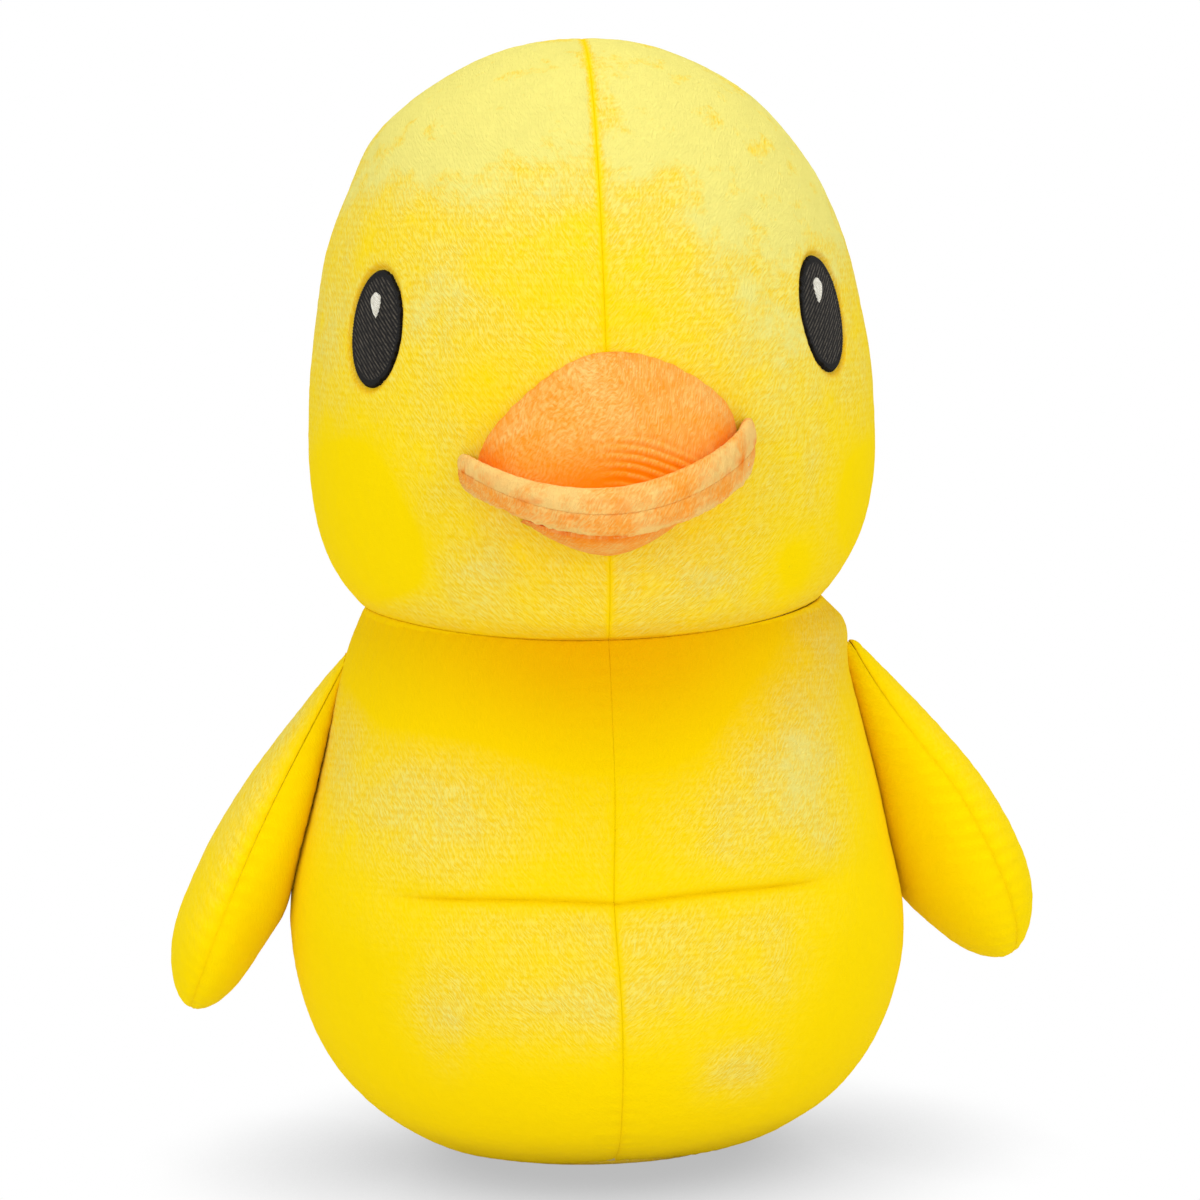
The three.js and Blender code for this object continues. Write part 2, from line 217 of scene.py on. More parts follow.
def wall_between(outer_rim, inner_rim, step):
    """Triangles from step outer edges to each inner edge: two fans and the triangle between."""
    count = len(outer_rim)
    edge = np.arange(count)
    nearest = (edge + step - step // 2) // step % len(inner_rim)
    fans = np.stack([outer_rim[(edge + 1) % count], outer_rim, inner_rim[nearest]], axis=-1)
    middle = outer_rim[np.arange(len(inner_rim)) * step + step // 2]
    between = np.stack([inner_rim, np.roll(inner_rim, -1), middle], axis=-1)
    return np.concatenate([fans, between])


def mesh_piece(name, points, quads, triangles, layers):
    """A mesh object from numpy arrays, in metres, with named layers. The quads are the cloth and
    are shaded smooth. The triangles are the wall, and stay flat, to keep its edge crisp."""
    mesh = bpy.data.meshes.new(name)
    corners = np.concatenate([quads.ravel(), triangles.ravel()]).astype(np.int32)
    sizes = np.concatenate([np.full(len(quads), 4), np.full(len(triangles), 3)])
    starts = np.concatenate([[0], np.cumsum(sizes)[:-1]]).astype(np.int32)
    mesh.vertices.add(len(points))
    mesh.vertices.foreach_set("co", (points * MM).astype(np.float32).ravel())
    mesh.loops.add(len(corners))
    mesh.loops.foreach_set("vertex_index", corners)
    mesh.polygons.add(len(sizes))
    mesh.polygons.foreach_set("loop_start", starts)
    mesh.update(calc_edges=True)
    mesh.polygons.foreach_set("use_smooth", sizes == 4)
    for layer, values in layers.items():
        if values.ndim == 2:
            uv = mesh.uv_layers.new(name=layer)
            uv.data.foreach_set("uv", values[corners].astype(np.float32).ravel())
        else:
            made = mesh.attributes.new(layer, "FLOAT", "POINT")
            made.data.foreach_set("value", values.astype(np.float32))
    mesh.validate()
    piece = bpy.data.objects.new(name, mesh)
    bpy.context.scene.collection.objects.link(piece)
    return piece


UV_PER_MM = 0.01  # the cloth's own map: 1 unit is 100 mm of cloth
INNER_STEP = 4  # the inner grid has every fourth row and column


def cloth_piece(name, outer, inner, layers):
    """A closed sheet from an outer grid and an inner grid, with one layer for each of its values.
    Its map "cloth" has the length of cloth across and up the outer grid."""
    rows, columns = outer.shape[:2]
    inner_rows, inner_columns = inner.shape[:2]
    first = rows * columns
    inside = quads_of(inner_rows, inner_columns, first)[:, ::-1]
    quads = np.concatenate([quads_of(rows, columns), inside])
    inner_rim = rim_of(inner_rows, inner_columns, first)
    wall = wall_between(rim_of(rows, columns), inner_rim, INNER_STEP)
    points = np.concatenate([outer.reshape(-1, 3), inner.reshape(-1, 3)])
    across = lengths_along(outer, 1)
    middle = across[:, columns // 2 : columns // 2 + 1]
    uv = np.stack([across - middle, lengths_along(outer, 0)], axis=-1) * UV_PER_MM
    layers = {"cloth": uv, **layers}
    for layer, values in layers.items():
        within = values[::INNER_STEP, ::INNER_STEP].reshape(len(points) - first, -1)
        layers[layer] = np.squeeze(np.concatenate([values.reshape(first, -1), within]))
    return mesh_piece(name, points, quads, wall, layers)


def thickness_inside(points, normal, thickness):
    """The inner grid of a sheet: every fourth point, moved in by the thickness of the cloth."""
    return (points - thickness * normal)[::INNER_STEP, ::INNER_STEP]


def filling(name, top, below):
    """A closed filling between two grids of one size. It has no seams and one finish."""
    layers = {"seam": np.zeros(top.shape[:2])}
    return cloth_piece(name, top, below[::INNER_STEP, ::INNER_STEP], layers)


# %% [markdown]
# ## Seams
# Where two panels are sewn together the thread pulls both down into a narrow valley, and the
# stuffing rounds the cloth on both sides of it. Small gathers run across the seam, because the
# panels were eased round a curve. The pile hides the stitches, so they aren't modelled.

# %% The valley beside a seam
GATHER_PITCH = 3.1  # millimetres from one gather to the next
GATHER_DRIFT, DRIFT_SIZE = 2.5, 6  # how far the noise shifts a gather, in radians, and its size
STITCH_HOLDS = 0.4  # nearer to the seam than this, the stitches hold the gathers flat


def seam_valley(distance, depth, width=0.8, dip=0.3, reach=5.0):
    """Depth below the plain form: depth e^(-d / width), with a wide bell-shaped dip."""
    return depth * np.exp(-distance / width) + dip * bell(distance, 0, reach)


def gathers(distance, along, points, height, seed, reach=2.2):
    """Ripples across a seam: a sine along it that the noise makes uneven, fading at the reach."""
    phase = 2 * np.pi * along / GATHER_PITCH + GATHER_DRIFT * hills(points, DRIFT_SIZE, seed)
    fade = np.exp(-distance / reach) * (1 - np.exp(-distance / STITCH_HOLDS))
    return height * np.sin(phase) * fade


# %% [markdown]
# ## Head and body forms
# Seen from the front, head and body are ovals that narrow faster towards one end. A superellipse
# has one number for that: the power. Each form is an oval section that is carried up a meridian,
# and the meridian is measured along the cloth, so that the grid has even steps.

# %% The two forms
NECK_HALF_WIDTH = 41.5
NECK_SAG = 3.0  # the head hangs this much lower over the chest than at its sides
PRESSED_FLAT = 2  # the round bottom of the body would reach this far below the floor
CROWN_HOLE = 0.25  # radius at which the four panels of the head meet
HEAD_WIDEST = NECK_HEIGHT + 30
BELLY_HEIGHT = 45
HEAD_POWERS = (2.3, 2.25)  # below the widest line, and above it
BODY_POWERS = (2.3, 1.3)
MERIDIAN_SAMPLES = 6001


def reach_through_neck(half_width, widest, power):
    """How far the form reaches from its widest line if it is as wide as the neck at the neck."""
    return abs(widest - NECK_HEIGHT) / (1 - (NECK_HALF_WIDTH / half_width) ** power) ** (1 / power)


head_form = {
    "half_width": HEAD_HALF_WIDTH,
    "depth_share": HEAD_HALF_DEPTH / HEAD_HALF_WIDTH,
    "widest": HEAD_WIDEST,
    "powers": HEAD_POWERS,
    "reaches": (
        reach_through_neck(HEAD_HALF_WIDTH, HEAD_WIDEST, HEAD_POWERS[0]),
        HEAD_TOP - HEAD_WIDEST,
    ),
}
body_form = {
    "half_width": BODY_HALF_WIDTH,
    "depth_share": BODY_HALF_DEPTH / BODY_HALF_WIDTH,
    "widest": BELLY_HEIGHT,
    "powers": BODY_POWERS,
    "reaches": (
        BELLY_HEIGHT + PRESSED_FLAT,
        reach_through_neck(BODY_HALF_WIDTH, BELLY_HEIGHT, BODY_POWERS[1]),
    ),
}


def half_width_at(form, height):
    """W (1 - s^p)^(1/p), with s the share of the way from the widest line to the form's end."""
    above = height > form["widest"]
    reach = np.where(above, form["reaches"][1], form["reaches"][0])
    power = np.where(above, form["powers"][1], form["powers"][0])
    share = np.clip(np.abs(height - form["widest"]) / reach, 0, 1)
    return form["half_width"] * (1 - share**power) ** (1 / power)


def meridian(form, low_radius, high_radius):
    """Radius W cos(t)^(2/p) and height: widest line +- reach sin(t)^(2/p), from one end of the
    form to the other, with the length of cloth to each point."""
    ends = []
    for radius, power in zip((low_radius, high_radius), form["powers"]):
        ends.append(math.acos((radius / form["half_width"]) ** (power / 2)))
    turn = np.linspace(-ends[0], ends[1], MERIDIAN_SAMPLES)
    power = np.where(turn > 0, form["powers"][1], form["powers"][0])
    reach = np.where(turn > 0, form["reaches"][1], form["reaches"][0])
    radius = form["half_width"] * np.cos(turn) ** (2 / power)
    height = form["widest"] + np.sign(turn) * reach * np.abs(np.sin(turn)) ** (2 / power)
    steps = np.hypot(np.diff(radius), np.diff(height))
    return radius, height, np.concatenate([[0], np.cumsum(steps)])


def oval_grid(form, line, up_shares, angles):
    """Points at x = r sin(angle), y = -share r cos(angle), so that angle 0 is the front."""
    radius, height, length = line
    at = np.asarray(up_shares) * length[-1]
    r = np.interp(at, length, radius)[:, None]
    z = np.interp(at, length, height)[:, None]
    angle = np.asarray(angles)[None, :]
    x = r * np.sin(angle)
    y = -form["depth_share"] * r * np.cos(angle)
    return np.stack(np.broadcast_arrays(x, y, z), axis=-1)


HEAD_LOP = {1: 1.006, -1: 0.984}  # the stuffing pushes the head to the duck's left
LOP_RISE = 25  # millimetres above the neck
CROWN_LOP = {1: (-0.05, 197, 4), -1: (0.045, 185, 7)}  # share, height and spread, near the crown
EYE_DRAW, DRAW_SPREAD = 0.014, 14  # the stiff embroidery draws the head in, level with the eyes
BELLY_LEAN, LEAN_MIDDLE, LEAN_SPREAD = 0.9, 54, 13


def head_lop(side, height):
    """Share of the head's half width on one side: 1 at the neck, rising to the whole lop, with
    a bell at the eyes and one near the crown."""
    share, middle, spread = CROWN_LOP[side]
    crown = share * bell(height, middle, spread)
    drawn = EYE_DRAW * bell(height, EYE_HEIGHT, DRAW_SPREAD)
    return 1 + (HEAD_LOP[side] - 1) * eased(0, LOP_RISE, height - NECK_HEIGHT) + crown - drawn


def belly_lean(height):
    """The belly hangs to the duck's right, by a bell of its height."""
    return -BELLY_LEAN * bell(height, LEAN_MIDDLE, LEAN_SPREAD)


BASE_HALF_WIDTH = float(half_width_at(body_form, np.array(0.0)))
head_line = meridian(head_form, NECK_HALF_WIDTH, CROWN_HOLE)
body_line = meridian(body_form, BASE_HALF_WIDTH, NECK_HALF_WIDTH)
print("cloth up the head", round(head_line[2][-1], 1), "mm, up the body", round(body_line[2][-1], 1))

# %% [markdown]
# ## Where the pile is brushed
# On velour the pile lies in patches. Where it is brushed up it looks pale and shows streaks, and
# where it lies smooth it looks deep and even. The patches are soft spots, listed as (across,
# height, how wide, how tall, how much paler), on the front of the duck. The noise in the material
# breaks their edges. The crown is pale all over, and the belly's underside lies smooth.
# A second layer paints shade where the cloth faces other cloth, such as under the chin: there the
# colour turns deep golden, as shade and light bounced between yellow walls make it.

# %% Patches of pile
HEAD_PATCHES = (
    (1.5, 188, 3.5, 6, -0.5),
    (-32, 168, 6, 5, -0.15),
    (-22, 176, 10, 8, 0.12),
    (26, 165, 12, 14, 0.6),
    (30, 148, 8, 10, 0.5),
    (-27, 152, 6, 9, 0.4),
    (-21, 142, 6, 5, -0.2),
    (-8, 155, 9, 6, -0.15),
    (6, 151, 7, 4, -0.2),
    (12, 157, 4, 4, -0.1),
    (-43, 120, 9, 14, -0.5),
    (48, 120, 8, 16, -0.5),
    (33, 127, 6, 8, 0.12),
    (-22, 110, 6, 5, 0.25),
    (-36, 110, 8, 9, -0.35),
    (15, 107, 9, 5, 0.3),
    (1, 105, 6, 4, 0.15),
    (-30, 103, 8, 2.5, 0.15),
    (32, 108, 6, 8, -0.3),
    (-45, 150, 5, 12, 0.25),
    (41, 163, 8, 14, 0.5),
    (47, 135, 5, 12, 0.2),
)
BODY_PATCHES = (
    (-30, 69, 13, 10, 0.52),
    (-46, 78, 5, 11, 0.35),
    (31, 76, 9, 13, 0.75),
    (38, 93, 5, 8, 0.5),
    (20, 66, 8, 8, 0.3),
    (37, 63, 4, 5, 0.3),
    (0, 66, 14, 9, 0.06),
    (-12, 50, 19, 4.5, 0.22),
    (14, 49, 15, 4.5, 0.2),
    (-9, 38, 15, 6, 0.42),
    (13, 41, 12, 6, 0.25),
    (26, 43, 5, 8, 0.22),
    (-29, 36, 4, 7, 0.45),
    (20, 25, 6, 4.5, 0.4),
    # The last patch keeps the pile deep under the neck, where the head's shade falls: painted shade.
    (-9, 92, 30, 9, -0.6),
)
UNSEEN_PILE = 0.2  # how pale the back is, on the whole
FULLY_BRUSHED = 1.4  # above 1, the noise can't turn the pile deep again
PATCHES_FADE = 16  # millimetres over which the patches fade at the duck's sides
# The crown is made paler between the heights below: painted light from above.
HEAD_GROUND, CROWN_PAINTED_LIGHT = 0.25, 0.95
CROWN_FROM, CROWN_TO = 160, 188  # heights between which the crown turns pale
NOOK_BELOW, NOOK_ABOVE = (0.85, 17), (0.4, 2.5)  # shade beside the neck and how far it reaches
NOOK_WIDE, NOOK_FADE = 32, 30
NOOK_ROUND = 0.3  # share of the shade that goes all round the neck


def brushed_by(points, patches, ground):
    """ground + the sum of amount x bell across x bell in height, fading past the sides."""
    x, y, z = np.moveaxis(points, -1, 0)
    front = np.clip(0.5 - y / PATCHES_FADE, 0, 1)
    total = ground
    for across, height, wide, tall, amount in patches:
        total = total + amount * bell(x, across, wide) * bell(z, height, tall)
    return np.clip(front * total + (1 - front) * UNSEEN_PILE, 0, FULLY_BRUSHED)


def head_pile_and_crown_light(points):
    """Pale ground of the head, and paler still at the crown: painted light from above."""
    return HEAD_GROUND + CROWN_PAINTED_LIGHT * eased(CROWN_FROM, CROWN_TO, points[..., 2])


def neck_painted_shade(points):
    """Painted golden shade under the head: it fades down the body and, sooner, up the head,
    most in front.
    """
    x, y, z = np.moveaxis(points, -1, 0)
    down = NECK_HEIGHT - NECK_SAG * np.clip(-y / HEAD_HALF_DEPTH, 0, 1) - z
    below, above = (amount * bell(down, 0, reach) for amount, reach in (NOOK_BELOW, NOOK_ABOVE))
    front = np.clip(0.5 - y / NOOK_FADE, 0, 1) * bell(x, 0, NOOK_WIDE)
    return np.where(down > 0, below, above) * (NOOK_ROUND + (1 - NOOK_ROUND) * front)


# %% [markdown]
# ## Covers of the head and the body
# Each cover is four panels that were sewn inside out and turned. The seam down the middle of the
# face shows, the side seams run through the crown, and the neck seam is pulled in deep under the
# head. A panel is the grid of its form between two angles, lowered beside its seams.

# %% One panel
COVER_THICKNESS = 2.4  # knitted ground and pile
SEAM_SHADE = 0.5  # how far the golden shade of a seam reaches
SEAM_SMOOTH = 0.8  # how far the seam holds the pile down
SIDE_SEAM_TURN = math.radians(97)  # from the front; a little behind the middle
FINE_STEP, COARSE_STEP, CROWDING = 0.2, 0.55, 2.5
NECK_LIFT, LIFT_REACH = 0.7, 18
STITCHED = 0.002  # left between two panels that are sewn together
ON_SEAM = 1e-6  # a point nearer to the neck's height than this is on its seam
FIBRE_SEED = 10  # one for all panels, so that the lumps run on across the seams
GATHER_HEIGHT = 0.12
DRAWN_LEVEL = 5  # millimetres from the neck over which the cloth is drawn level
LEAST_SHADE = 0.15  # of a seam without depth


def hung(points, angle):
    """Moves the neck seam: up a little at the sides, and down in front, by a share of
    cos(angle)^2. It keeps to the body's form there, and fades away from the seam."""
    ahead = np.maximum(np.cos(angle), 0) ** 2
    shift = NECK_LIFT - (NECK_LIFT + NECK_SAG) * ahead
    wider = half_width_at(body_form, NECK_HEIGHT + shift) / NECK_HALF_WIDTH - 1
    away = points[..., 2] - NECK_HEIGHT
    fade = 1 - eased(0, LIFT_REACH, np.abs(away))
    apart = np.where(away > -ON_SEAM, STITCHED, -STITCHED) * (np.abs(away) < ON_SEAM)
    x, y = points[..., 0] * (1 + wider * fade), points[..., 1] * (1 + wider * fade)
    return np.stack([x, y, points[..., 2] + shift * fade + apart], axis=-1)


def crowded(stretches):
    """Shares from 0 to 1 along stretches of cloth end to end, crowded at the ends of each."""
    total, start, shares = sum(stretches), 0, [np.zeros(1)]
    for stretch in stretches:
        part = spaced(stretch, FINE_STEP, COARSE_STEP, CROWDING, INNER_STEP)[1:]
        shares.append((start + stretch * part) / total)
        start += stretch
    return np.concatenate(shares)


def panel_points(form, line, start, end, folds=()):
    """The panel's grid, from its bottom seam up and from the start angle to the end angle. Its
    rows also crowd at the heights of its folds."""
    inset = STITCHED / NECK_HALF_WIDTH
    widest = abs(end - start) * form["half_width"]
    across = spaced(widest, FINE_STEP, COARSE_STEP, CROWDING, INNER_STEP)
    up = crowded(np.diff([0, *np.interp(folds, line[1], line[2]), line[2][-1]]))
    angles = start + inset + (end - start - 2 * inset) * across
    return hung(oval_grid(form, line, up, angles), angles[None, :])


def sewn_panel(name, points, seams, neck, shape, brushed, nook):
    """Lowers a grid beside its seams and by its shape, adds gathers and unevenness, and closes it
    as cloth. Seams are (edge, depth, dip): left, right, low or high, how deep the narrow valley
    is and how deep the wide one. At the neck the cloth is drawn towards the duck's middle."""
    normal = normals_of(points)
    across, up = lengths_along(points, 1), lengths_along(points, 0)
    distances = {"left": across, "right": across[:, -1:] - across, "low": up, "high": up[-1:] - up}
    radial = unit(points * [1, 1, 0])
    level = 1 - eased(0, DRAWN_LEVEL, distances[neck])[..., None]
    outwards = radial * level + normal * (1 - level)
    moved, seam, lies_up = points, np.zeros(points.shape[:2]), np.ones(points.shape[:2])
    for edge, depth, dip in seams:
        distance = distances[edge]
        along = up if edge in ("left", "right") else across
        direction = radial if edge == neck else outwards
        drop = seam_valley(distance, depth, dip=dip)
        drop = drop - gathers(distance, along, points, GATHER_HEIGHT, FIBRE_SEED)
        moved = moved - drop[..., None] * direction
        # The seam layer is painted golden shade beside the seam, stronger for a deeper seam.
        seam = np.maximum(seam, np.exp(-distance / SEAM_SHADE) * min(1, LEAST_SHADE + depth))
        lies_up = lies_up * (1 - bell(distance, 0, SEAM_SMOOTH))
    moved = moved - shape[..., None] * outwards
    outer = moved + unevenness(points, FIBRE_SEED)[..., None] * outwards
    outer[..., 2] = np.maximum(outer[..., 2], 0)
    inner = thickness_inside(moved, normal, COVER_THICKNESS)
    return cloth_piece(name, outer, inner, {"brushed": brushed * lies_up, "nook": nook, "seam": seam})


QUARTERS = (("front", "left"), ("front", "right"), ("back", "left"), ("back", "right"))


def quarter(end_name, side_name):
    """Start and end angle of a panel, measured round from the front towards the duck's left."""
    spans = {
        ("front", "left"): (0, SIDE_SEAM_TURN),
        ("back", "left"): (SIDE_SEAM_TURN, math.pi),
        ("back", "right"): (-math.pi, -SIDE_SEAM_TURN),
        ("front", "right"): (-SIDE_SEAM_TURN, 0),
    }
    return spans[end_name, side_name]


def centre_and_outside(end_name, side_name):
    """Which edge of a panel's grid is sewn in the duck's middle, and which at its side."""
    return ("left", "right") if (side_name == "left") == (end_name == "front") else ("right", "left")


# %% [markdown]
# ## Head
# The pile is sheared away where the eyes are embroidered, so that the thread lies in a shallow
# pocket. The eye is an oval on the slant of the head: its middle is found by turning from straight
# ahead, and points are measured from it sideways and up.

# %% Head panels
EYE_TURN = {1: math.radians(54.9), -1: math.radians(53.4)}  # the duck's left, its right
EYE_LEVEL = {1: 0.3, -1: -0.6}  # above or below the frame's eyes
EYE_HALF_WIDTH, EYE_HALF_TALL = 6.4, 10.0
EYE_POCKET = 1.0
EYE_LIP = 0.11  # how wide the slope round the pocket is, as a share of the eye
# The golden rim of the pocket is painted shade, where its wall meets the pile.
RIM_SHADE, RIM_MIDDLE, RIM_SPREAD = 0.8, 1.04, 0.05  # the golden rim of the pocket
BEHIND = 9.0  # stands for a point on the far side of the head
FACE_SEAM, SIDE_SEAM, NECK_SEAM = (0.12, 0.15), (0.6, 0.3), (0.35, 0.6)  # depth and dip


def eye_axes(side):
    """The way an eye looks, and the way across it, as unit vectors."""
    turn = EYE_TURN[side]
    ahead = np.array([side * math.sin(turn), -math.cos(turn), 0.0])
    across = np.array([math.cos(turn), side * math.sin(turn), 0.0])
    return ahead, across


def eye_share(points, side):
    """sqrt((across / half width)^2 + (up / half height)^2): 1 on the eye's outline."""
    ahead, across = eye_axes(side)
    up = points[..., 2] - EYE_HEIGHT - EYE_LEVEL[side]
    out = np.hypot((points @ across) / EYE_HALF_WIDTH, up / EYE_HALF_TALL)
    return np.where(points @ ahead > 0, out, BEHIND)


head_covers = []
for end_name, side_name in QUARTERS:
    side = SIGN[side_name]
    points = panel_points(head_form, head_line, *quarter(end_name, side_name))
    points[..., 0] *= head_lop(side, points[..., 2])
    centre, outside = centre_and_outside(end_name, side_name)
    share = eye_share(points, side)
    pocket = EYE_POCKET * (1 - eased(1 - EYE_LIP / 2, 1 + EYE_LIP, share))
    # Painted golden shade round the eye's pocket.
    rim = RIM_SHADE * bell(share, RIM_MIDDLE, RIM_SPREAD)
    cover = sewn_panel(
        f"head_{end_name}_{side_name}_cover",
        points,
        seams=((centre, *FACE_SEAM), (outside, *SIDE_SEAM), ("low", *NECK_SEAM)),
        neck="low",
        shape=pocket,
        brushed=brushed_by(points, HEAD_PATCHES, head_pile_and_crown_light(points)),
        nook=np.maximum(neck_painted_shade(points), rim),
    )
    head_covers.append((cover, f"head_{end_name}_{side_name}_panel"))
    print(cover.name, points.shape[:2], len(cover.data.polygons), "faces")

# %% [markdown]
# ## Body
# A short dart is sewn into each front panel of the body: a pinched fold that runs out sideways
# from the middle seam. It gives the belly its sudden roundness. It is a valley like a seam, whose
# depth fades out towards its end.

# %% Body panels
BELLY_SEAM = (0.12, 0.2)  # depth and dip
DART_HEIGHT, DART_REACH = 54.5, 37
DART_WAVE, WAVE_LENGTH, DART_SLOPE = 0.5, 9, 0.02  # the dart's line isn't quite straight
DART_ROWS = DART_HEIGHT + 0.4  # the rows of the grid crowd round this height
DART_SECTION = (0.75, 0.65, 0.45, 4.0)  # depth and width of the valley, dip and its reach
DART_FADE = (9, 3)  # it fades from this far before its end to this far past it
DIMPLE_DEPTH, DIMPLE_WIDE, DIMPLE_TALL = 0.5, 6, 3  # the dimple at the dart's end
FOLD_SHADE, FOLD_WIDTH = 0.55, 0.5
FOLD_SMOOTH = 1.3  # how far the dart holds the pile down
PUFF, PUFF_MIDDLE, PUFF_SPREAD = 2.2, (45, 0, 95), (18, 30, 5)
FRONT_LIFT, LIFT_BACK, LIFT_UP = 2.4, 27, 14


def dart_drop(points, side):
    """How deep the dart draws the cloth in: a narrow valley and a wide dip, fading at its end
    into a dimple. Also the fade, and how far each point is from the dart."""
    x, y, z = np.moveaxis(points, -1, 0)
    out = side * x
    line = DART_HEIGHT + DART_WAVE * np.sin(out / WAVE_LENGTH) + DART_SLOPE * out
    distance = np.abs(z - line)
    fade = (1 - eased(DART_REACH - DART_FADE[0], DART_REACH + DART_FADE[1], out)) * (y < 0)
    dimple = DIMPLE_DEPTH * bell(out, DART_REACH, DIMPLE_WIDE) * bell(distance, 0, DIMPLE_TALL)
    return fade * seam_valley(distance, *DART_SECTION) + dimple * (y < 0), fade, distance


def shoulder_puff(points, side):
    """The duck's left shoulder is stuffed fuller: a bell just below the neck."""
    return PUFF * (side > 0) * np.prod(bell(points, PUFF_MIDDLE, PUFF_SPREAD), axis=-1)


def turned_up(points):
    """The front of the base is round: it lifts off the floor, and the cloth above it less."""
    x, y, z = np.moveaxis(points, -1, 0)
    lift = FRONT_LIFT * eased(0, LIFT_BACK, -y) * (1 - eased(0, LIFT_UP, z))
    return np.stack([x, y, z + lift], axis=-1)


body_covers = []
for end_name, side_name in QUARTERS:
    side = SIGN[side_name]
    start, end = quarter(end_name, side_name)
    points = turned_up(panel_points(body_form, body_line, start, end, folds=(DART_ROWS,)))
    points[..., 0] += belly_lean(points[..., 2])
    centre, outside = centre_and_outside(end_name, side_name)
    dart, dart_fade, dart_distance = dart_drop(points, side)
    # Painted golden shade along the crease of the dart.
    fold_shade = FOLD_SHADE * dart_fade * np.exp(-dart_distance / FOLD_WIDTH)
    lies_up = 1 - dart_fade * bell(dart_distance, 0, FOLD_SMOOTH)
    cover = sewn_panel(
        f"body_{end_name}_{side_name}_cover",
        points,
        seams=((centre, *BELLY_SEAM), (outside, *SIDE_SEAM), ("low", *SIDE_SEAM), ("high", *NECK_SEAM)),
        neck="high",
        shape=dart - shoulder_puff(points, side),
        brushed=brushed_by(points, BODY_PATCHES, 0.0) * lies_up,
        nook=np.maximum(neck_painted_shade(points), fold_shade),
    )
    body_covers.append((cover, f"body_{end_name}_{side_name}_panel"))
    print(cover.name, points.shape[:2], len(cover.data.polygons), "faces")

# %% [markdown]
# ## Base
# The duck stands on an oval of the same cloth. A grid of circles would have a pole in its middle,
# so the square grid is rounded instead: x = a sqrt(1 - b^2 / 2) and y = b sqrt(1 - a^2 / 2) turn
# the square from -1 to 1 into a disc, with its edge on the disc's edge.

# %% Base panel
BASE_ROWS = 121
BASE_VALLEY = 0.8
# The base gets a flat painted shade all over.
BASE_BRUSHED, BASE_PAINTED_SHADE, BASE_SEED = 0.35, 0.2, 400


def disc_grid(rows, columns):
    """Places on the unit disc: across and up, each from -1 to 1."""
    a = np.linspace(-1, 1, columns)[None, :]
    b = np.linspace(-1, 1, rows)[:, None]
    return a * np.sqrt(1 - b * b / 2), b * np.sqrt(1 - a * a / 2)


def base_points():
    """The oval, facing down, with its edge drawn up into the base seam."""
    across, back = disc_grid(BASE_ROWS, BASE_ROWS)
    from_edge = BASE_HALF_WIDTH * (1 - np.hypot(across, back))
    x = -across * (BASE_HALF_WIDTH - SEAM_GAP)
    y = back * (BASE_HALF_WIDTH - SEAM_GAP) * body_form["depth_share"]
    z = seam_valley(from_edge, BASE_VALLEY, dip=0)
    return np.stack([x, y, z], axis=-1)


points = turned_up(base_points())
inner = (points + [0, 0, COVER_THICKNESS])[::INNER_STEP, ::INNER_STEP]
flat = np.zeros(points.shape[:2])
points[..., 2] += np.abs(CLUMP_HEIGHT * hills(points, CLUMP_SIZE, BASE_SEED))
layers = {"brushed": flat + BASE_BRUSHED, "nook": flat + BASE_PAINTED_SHADE, "seam": flat}
base_cover = cloth_piece("base_cover", points, inner, layers)
print("base_cover", len(base_cover.data.polygons), "faces")

# %% [markdown]
# ## Wings
# A wing is a flat pad of two panels, sewn round their edge, turned, stuffed, and caught in the
# side seam at the shoulder. It is modelled along its own length and turned into place: leaning
# out from straight down, and twisted so that its front edge points outwards. Each half is a disc
# stretched to a teardrop, and it lies against the side of the body without cutting into it.

# %% The pad of a wing
WING_HALF_BREADTH = 17
WING_SHAPES = {
    "left": {
        "length": 63.5, "thick": 10.2, "fullest": 0.67, "root": 0.24, "flat": 1.2, "bow": 0.6,
        "lean": math.radians(25), "twist": math.radians(14.5), "inwards": -0.1, "down": 0.4,
        "wrap": 0, "pale": 0.06},
    "right": {
        "length": 68.5, "thick": 8.2, "fullest": 0.76, "root": 0.18, "flat": 1.25, "bow": 1.7,
        "lean": math.radians(25.6), "twist": math.radians(1.5), "inwards": 3.0, "down": -0.6,
        "wrap": 7, "pale": 0.45},
}
WING_ROWS, WING_COLUMNS = 201, 121
WING_END = 0.02  # share of the row angles left out at the root and at the tip
PILE_PRESSED = 0.5  # the pile of the wing and the pile of the body press into each other
SEWN_IN = 1.2
WING_COVER, ROOT_COVER = 1.9, 0.4  # thickness of the cloth, and what its root is pressed to
PRESSED_COVER = 0.8  # cloth between the body and the root of a wing
SOFT_CONTACT = 0.3  # millimetres over which a wing that meets the body is pushed off it


def wing_swell(shape, down, above_root):
    """Breadth as a share of the fullest: a quarter sine from the root, a quarter ellipse at the
    tip, and a quarter circle above the hinge line."""
    u = np.clip(down / shape["length"], 0, 1)
    rise = shape["root"] + (1 - shape["root"]) * np.sin(np.pi / 2 * np.clip(u / shape["fullest"], 0, 1))
    past = np.clip((u - shape["fullest"]) / (1 - shape["fullest"]), 0, 1)
    above = np.clip(-down / above_root, 0, 1)
    return rise * np.sqrt(1 - past**2) * np.sqrt(1 - above**2)


